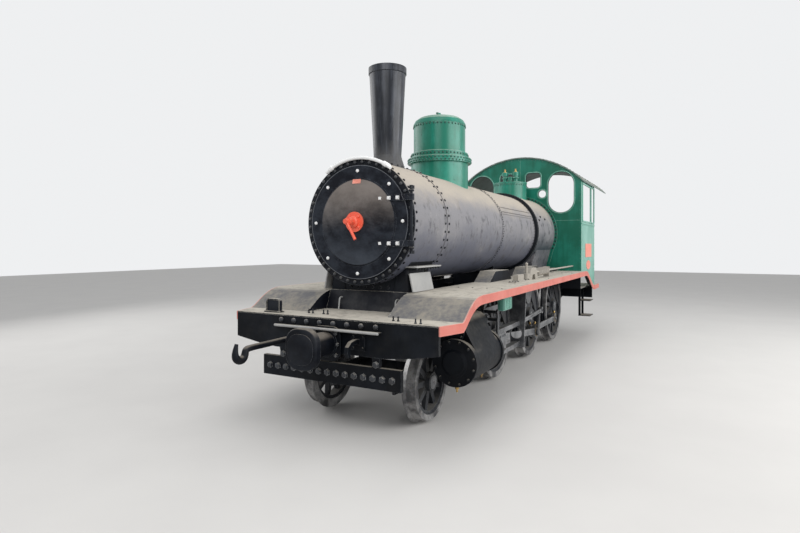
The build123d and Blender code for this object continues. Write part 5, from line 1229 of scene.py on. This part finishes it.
valveWheel = {
    "places": ((0.352, 1.62), (-0.352, 1.62), (0.120, 2.390)),
    "ring": (0.034, 0.008, 0.008), "ringBack": 6.150,
    "hub": [(0.010, 0), (0.010, 0.052), (0.007, 0.056)], "hubBack": 6.105,
    "spoke": (0.070, 0.008, 0.005, 0.001), "spokeBack": 6.148,
}
pieces = []
for y, z in valveWheel["places"]:
    ring = band("ring", (back(valveWheel["ringBack"]), y, z), rearward, *valveWheel["ring"], steps=28)
    hub = placed(turnedPiece("hub", valveWheel["hub"], sides=10), at(valveWheel["hubBack"], y, z, rearward))
    spoke = flatPlate("spoke", *valveWheel["spoke"], steps=1)
    placed(spoke, at(valveWheel["spokeBack"], y, z, rearward))
    pieces += [ring, hub, spoke]
complete(joined(pieces, "valve_wheels"), "smokeboxBlack")
print("cab inside made")

# Running boards

oilBox = {
    "backs": (1.520, 1.790), "y": (0.985, 1.060), "z": (0.975, 1.105), "lid": (0.020, 0.016), "corner": 0.014,
    "ribs": 5, "ribWidth": 0.012, "ribCorner": 0.003, "ribDrop": 0.008, "ribMargin": 0.040,
}
length = oilBox["backs"][1] - oilBox["backs"][0]
depth = oilBox["y"][1] - oilBox["y"][0]
tall = oilBox["z"][1] - oilBox["z"][0]
spot = shifted(sum(oilBox["backs"]) / 2, sum(oilBox["y"]) / 2, oilBox["z"][0])
box = flatPlate("box", length - oilBox["lid"][0], depth - oilBox["lid"][1], tall, oilBox["corner"])
pieces = [placed(softened(box, wideEdge), spot)]
ribTall = tall - 2 * oilBox["ribDrop"]
for number in range(oilBox["ribs"]):
    rib = flatPlate("rib", oilBox["ribWidth"], depth, ribTall, oilBox["ribCorner"], steps=2)
    shift = (number / (oilBox["ribs"] - 1) - 0.5) * (length - oilBox["ribMargin"])
    pieces.append(placed(rib, spot @ Matrix.Translation((shift, 0, oilBox["ribDrop"]))))
complete(joined(pieces, "oil_box"), "paleLitGreen")

board = {
    "boltBacks": (1.440, 3.380, 4.900), "boltReach": (0.60, 1.06), "boltCount": 4, "boltFoot": 1.203,
    "bolt": 0.010, "standBacks": (2.31, 2.42, 2.74, 2.86), "standSides": (0.872, 0.938),
    "standFoot": 1.215, "standBolt": 0.010,
}
places = []
for distance in board["boltBacks"]:
    ends = [(back(distance), y, board["boltFoot"]) for y in board["boltReach"]]
    places += linePlaces(*ends, board["boltCount"], up)
fasteners("board_bolts", rivetHead(board["bolt"]), bothSides(places), "deckPlate")
places = []
for distance in board["standBacks"]:
    places += [at(distance, y, board["standFoot"], up) for y in board["standSides"]]
fasteners("reversing_stand_bolts", boltHead(board["standBolt"]), places, "smokeboxBlack")

# Cylinders

cylinder = {
    "y": 0.885, "z": 0.603, "front": 0.650, "rear": 1.400, "studs": (0.186, 12, 15, 375), "stud": 0.0135,
    "chestY": 0.825, "chestZ": 0.872, "chestFront": 0.700, "chestStuds": (0.116, 8, 22, 382),
    "cock": [(0.012, 0), (0.012, 0.020), (0.018, 0.022), (0.018, 0.042), (0.009, 0.046), (0.009, 0.070)],
    "cockBacks": (0.715, 1.335), "cockDrop": 0.196,
}
places = []
for distance, axis in ((cylinder["front"], forward), (cylinder["rear"], rearward)):
    centre = (back(distance), cylinder["y"], cylinder["z"])
    places += circlePlaces(centre, axis, *cylinder["studs"], outward=False)
centre = (back(cylinder["chestFront"]), cylinder["chestY"], cylinder["chestZ"])
places += circlePlaces(centre, forward, *cylinder["chestStuds"], outward=False)
fasteners("cylinder_studs", studNut(cylinder["stud"]), bothSides(places), "frameBlack")
height = cylinder["z"] - cylinder["cockDrop"]
places = [at(distance, cylinder["y"], height, -up) for distance in cylinder["cockBacks"]]
fasteners("drain_cocks", turnedPiece("cock", cylinder["cock"], sides=10), bothSides(places), "fittingBrass")

# Rods and wheels

motion = {
    "crank": 0.270, "crankAngles": {1: -45, -1: 45}, "axleHeight": 0.603, "connecting": 2.150,
    "drivers": {"driver_1": 2.650, "driver_2": 4.170, "driver_3": 5.690},
    "couplingFaces": (0.631, 0.673), "connectingFaces": (0.699, 0.749),
    "couplingCup": 0.086, "bigEndCup": 0.096, "smallEndCup": 0.060,
    "cup": [(0.010, 0), (0.010, 0.008), (0.017, 0.010), (0.017, 0.032), (0.012, 0.038), (0.006, 0.044)],
    "couplingBush": (0.0475, 0.004, 0.013), "couplingBushSet": 0.001,
    "bigEndBush": (0.060, 0.003, 0.012), "bigEndBushSet": 0.0005,
    "crossheadBolts": (-0.11, -0.04, 0.04, 0.11), "crossheadY": 0.930, "crossheadRise": 0.062,
    "crossheadBolt": 0.011,
}


def crankPin(side, distance):
    angle = math.radians(motion["crankAngles"][side])
    across, rise = motion["crank"] * math.cos(angle), motion["crank"] * math.sin(angle)
    return Vector((back(distance) + across, 0, motion["axleHeight"] + rise))


for side, word in sideWords.items():
    outward = leftward * side
    low, high = motion["couplingFaces"]
    cups = []
    bushes = []
    for distance in motion["drivers"].values():
        pin = crankPin(side, distance)
        cups.append(aimed(pin + outward * (low + high) / 2 + up * motion["couplingCup"], up))
        face = pin + outward * (high + motion["couplingBushSet"])
        bushes.append(band("bush", face, outward, *motion["couplingBush"], steps=36))
    cup = turnedPiece("cup", motion["cup"], sides=12)
    fasteners(f"coupling_rod_cups_{word}", cup, cups, "fittingBrass", f"coupling_rod_{word}")
    complete(joined(bushes, f"coupling_rod_bushes_{word}"), "fittingBrass", f"coupling_rod_{word}")
    low, high = motion["connectingFaces"]
    bigEnd = crankPin(side, motion["drivers"]["driver_2"])
    reach = math.sqrt(motion["connecting"] ** 2 - (bigEnd.z - motion["axleHeight"]) ** 2)
    smallEnd = Vector((bigEnd.x + reach, 0, motion["axleHeight"]))
    cups = [
        aimed(bigEnd + outward * (low + high) / 2 + up * motion["bigEndCup"], up),
        aimed(smallEnd + outward * (low + high) / 2 + up * motion["smallEndCup"], up),
    ]
    cup = turnedPiece("cup", motion["cup"], sides=12)
    fasteners(f"connecting_rod_cups_{word}", cup, cups, "fittingBrass", f"connecting_rod_{word}")
    face = bigEnd + outward * (high + motion["bigEndBushSet"])
    bush = band("bush", face, outward, *motion["bigEndBush"], steps=36)
    complete(joined([bush], f"connecting_rod_bush_{word}"), "fittingBrass", f"connecting_rod_{word}")
    height = motion["axleHeight"] + motion["crossheadRise"]
    bolts = []
    for shift in motion["crossheadBolts"]:
        bolts.append(aimed((smallEnd.x + shift, motion["crossheadY"] * side, height), outward))
    seed = boltHead(motion["crossheadBolt"])
    fasteners(f"crosshead_bolts_{word}", seed, bolts, "motionSteel", f"crosshead_{word}")

wheel = {
    "rows": [                                 # body, back, axle height, rivet circle
        ("driver_1", 2.650, 0.603, 0.489),
        ("driver_2", 4.170, 0.603, 0.489),
        ("driver_3", 5.690, 0.603, 0.489),
        ("leading_wheelset", 0.790, 0.378, 0.279),
    ],
    "rivets": 18, "rivet": 0.0085, "rivetFace": 0.595, "axleFace": 0.619, "pinFace": 0.673,
    "capped": ("driver_1", "driver_3"),       # the middle pair's pins carry the connecting rods instead
    "axleEnd": [(0.062, 0), (0.062, 0.003), (0.046, 0.006), (0.012, 0.006), (0.012, 0.002)],
    "pinCap": [(0.040, 0), (0.040, 0.005), (0.026, 0.005), (0.026, 0.015), (0.021, 0.018)],
}
for body, distance, height, circle in wheel["rows"]:
    centre = Vector((back(distance), 0, height))
    rivets = []
    ends = []
    for outward in (leftward, -leftward):
        face = centre + outward * wheel["rivetFace"]
        rivets += circlePlaces(face, outward, circle, wheel["rivets"], outward=False)
        ends.append(aimed(centre + outward * wheel["axleFace"], outward))
    fasteners(f"{body}_rim_rivets", rivetHead(wheel["rivet"]), rivets, "wheelBlack", body)
    fasteners(f"{body}_axle_ends", turnedPiece("end", wheel["axleEnd"], sides=32), ends, "motionSteel", body)
    if body in wheel["capped"]:
        caps = []
        for side in sideWords:
            outward = leftward * side
            caps.append(aimed(crankPin(side, distance) + outward * wheel["pinFace"], outward))
        fasteners(f"{body}_pin_caps", turnedPiece("cap", wheel["pinCap"], sides=6), caps, "motionSteel", body)
print("motion made")

# Floor, backdrop, lights and camera

studio = {
    "size": 60, "pale": rgb(0.66, 0.645, 0.62), "grey": rgb(0.60, 0.585, 0.565), "patches": 1.2,
    "bounce": rgb(0.50, 0.49, 0.48), "roughness": 0.9, "backdrop": rgb(0.86, 0.87, 0.88),
    "fill": rgb(0.95, 0.97, 1.0), "fillStrength": 0.58,
}
studioFloor = newFinish("studioFloor")
shown = studioFloor.mix(studioFloor.noise(studio["patches"], 3.0), studio["grey"], studio["pale"])
colour = studioFloor.mix(studioFloor.seen(), studio["bounce"], shown)
floor = startPiece(bpy.ops.mesh.primitive_plane_add, "studio_floor", size=studio["size"])
floor.data.materials.append(studioFloor.give(Base_Color=colour, Roughness=studio["roughness"]))

world = bpy.data.worlds.new("studio")
bpy.context.scene.world = world
sky = Finish(world)
backdrop = sky.node("ShaderNodeBackground", {}, {"Color": studio["backdrop"], "Strength": 1.0})
fill = sky.node("ShaderNodeBackground", {}, {"Color": studio["fill"], "Strength": studio["fillStrength"]})
chosen = sky.node("ShaderNodeMixShader", {}, {0: sky.seen(), 1: fill, 2: backdrop})
sky.tree.links.new(chosen.socket, sky.tree.nodes["World Output"].inputs["Surface"])

lamps = [                                     # name, place, aim, size, power
    ("windowSide", (0.5, 9.0, 4.2), (0.0, 0.0, 1.6), (11.0, 3.2), 640),
    ("farSide", (2.5, -9.0, 4.6), (0.5, 0.0, 1.6), (9.0, 3.4), 230),
    ("frontHigh", (9.5, 2.0, 6.0), (2.5, 0.0, 1.3), (5.0, 3.5), 200),
    ("roofLight", (-0.5, 0.5, 9.0), (-0.5, 0.0, 1.0), (10.0, 4.0), 230),
]
for lampName, place, aim, size, power in lamps:
    light = bpy.data.lights.new(lampName, "AREA")
    light.shape = "RECTANGLE"
    light.size, light.size_y = size
    light.energy = power
    lamp = bpy.data.objects.new(lampName, light)
    lamp.location = place
    lamp.rotation_euler = (Vector(place) - Vector(aim)).to_track_quat("Z", "Y").to_euler()
    bpy.context.collection.objects.link(lamp)

view = {                                      # the photograph's own camera
    "place": (7.4915, 2.723, 1.628), "heading": 118.66, "focalPixels": 538, "horizonRow": 246,
    "pictureSize": (800, 533), "sensorWidth": 36,
}
pictureWidth, pictureHeight = view["pictureSize"]
lens = bpy.data.cameras.new("photoView")
lens.sensor_width = view["sensorWidth"]
lens.lens = view["focalPixels"] / pictureWidth * lens.sensor_width
lens.shift_y = (view["horizonRow"] - pictureHeight / 2) / pictureWidth
camera = bpy.data.objects.new("photoView", lens)
camera.location = view["place"]
camera.rotation_euler = (math.radians(90), 0, math.radians(view["heading"]))
bpy.context.collection.objects.link(camera)
bpy.context.scene.camera = camera
bpy.context.scene.view_settings.view_transform = "Standard"
print("stage, lights and camera set")
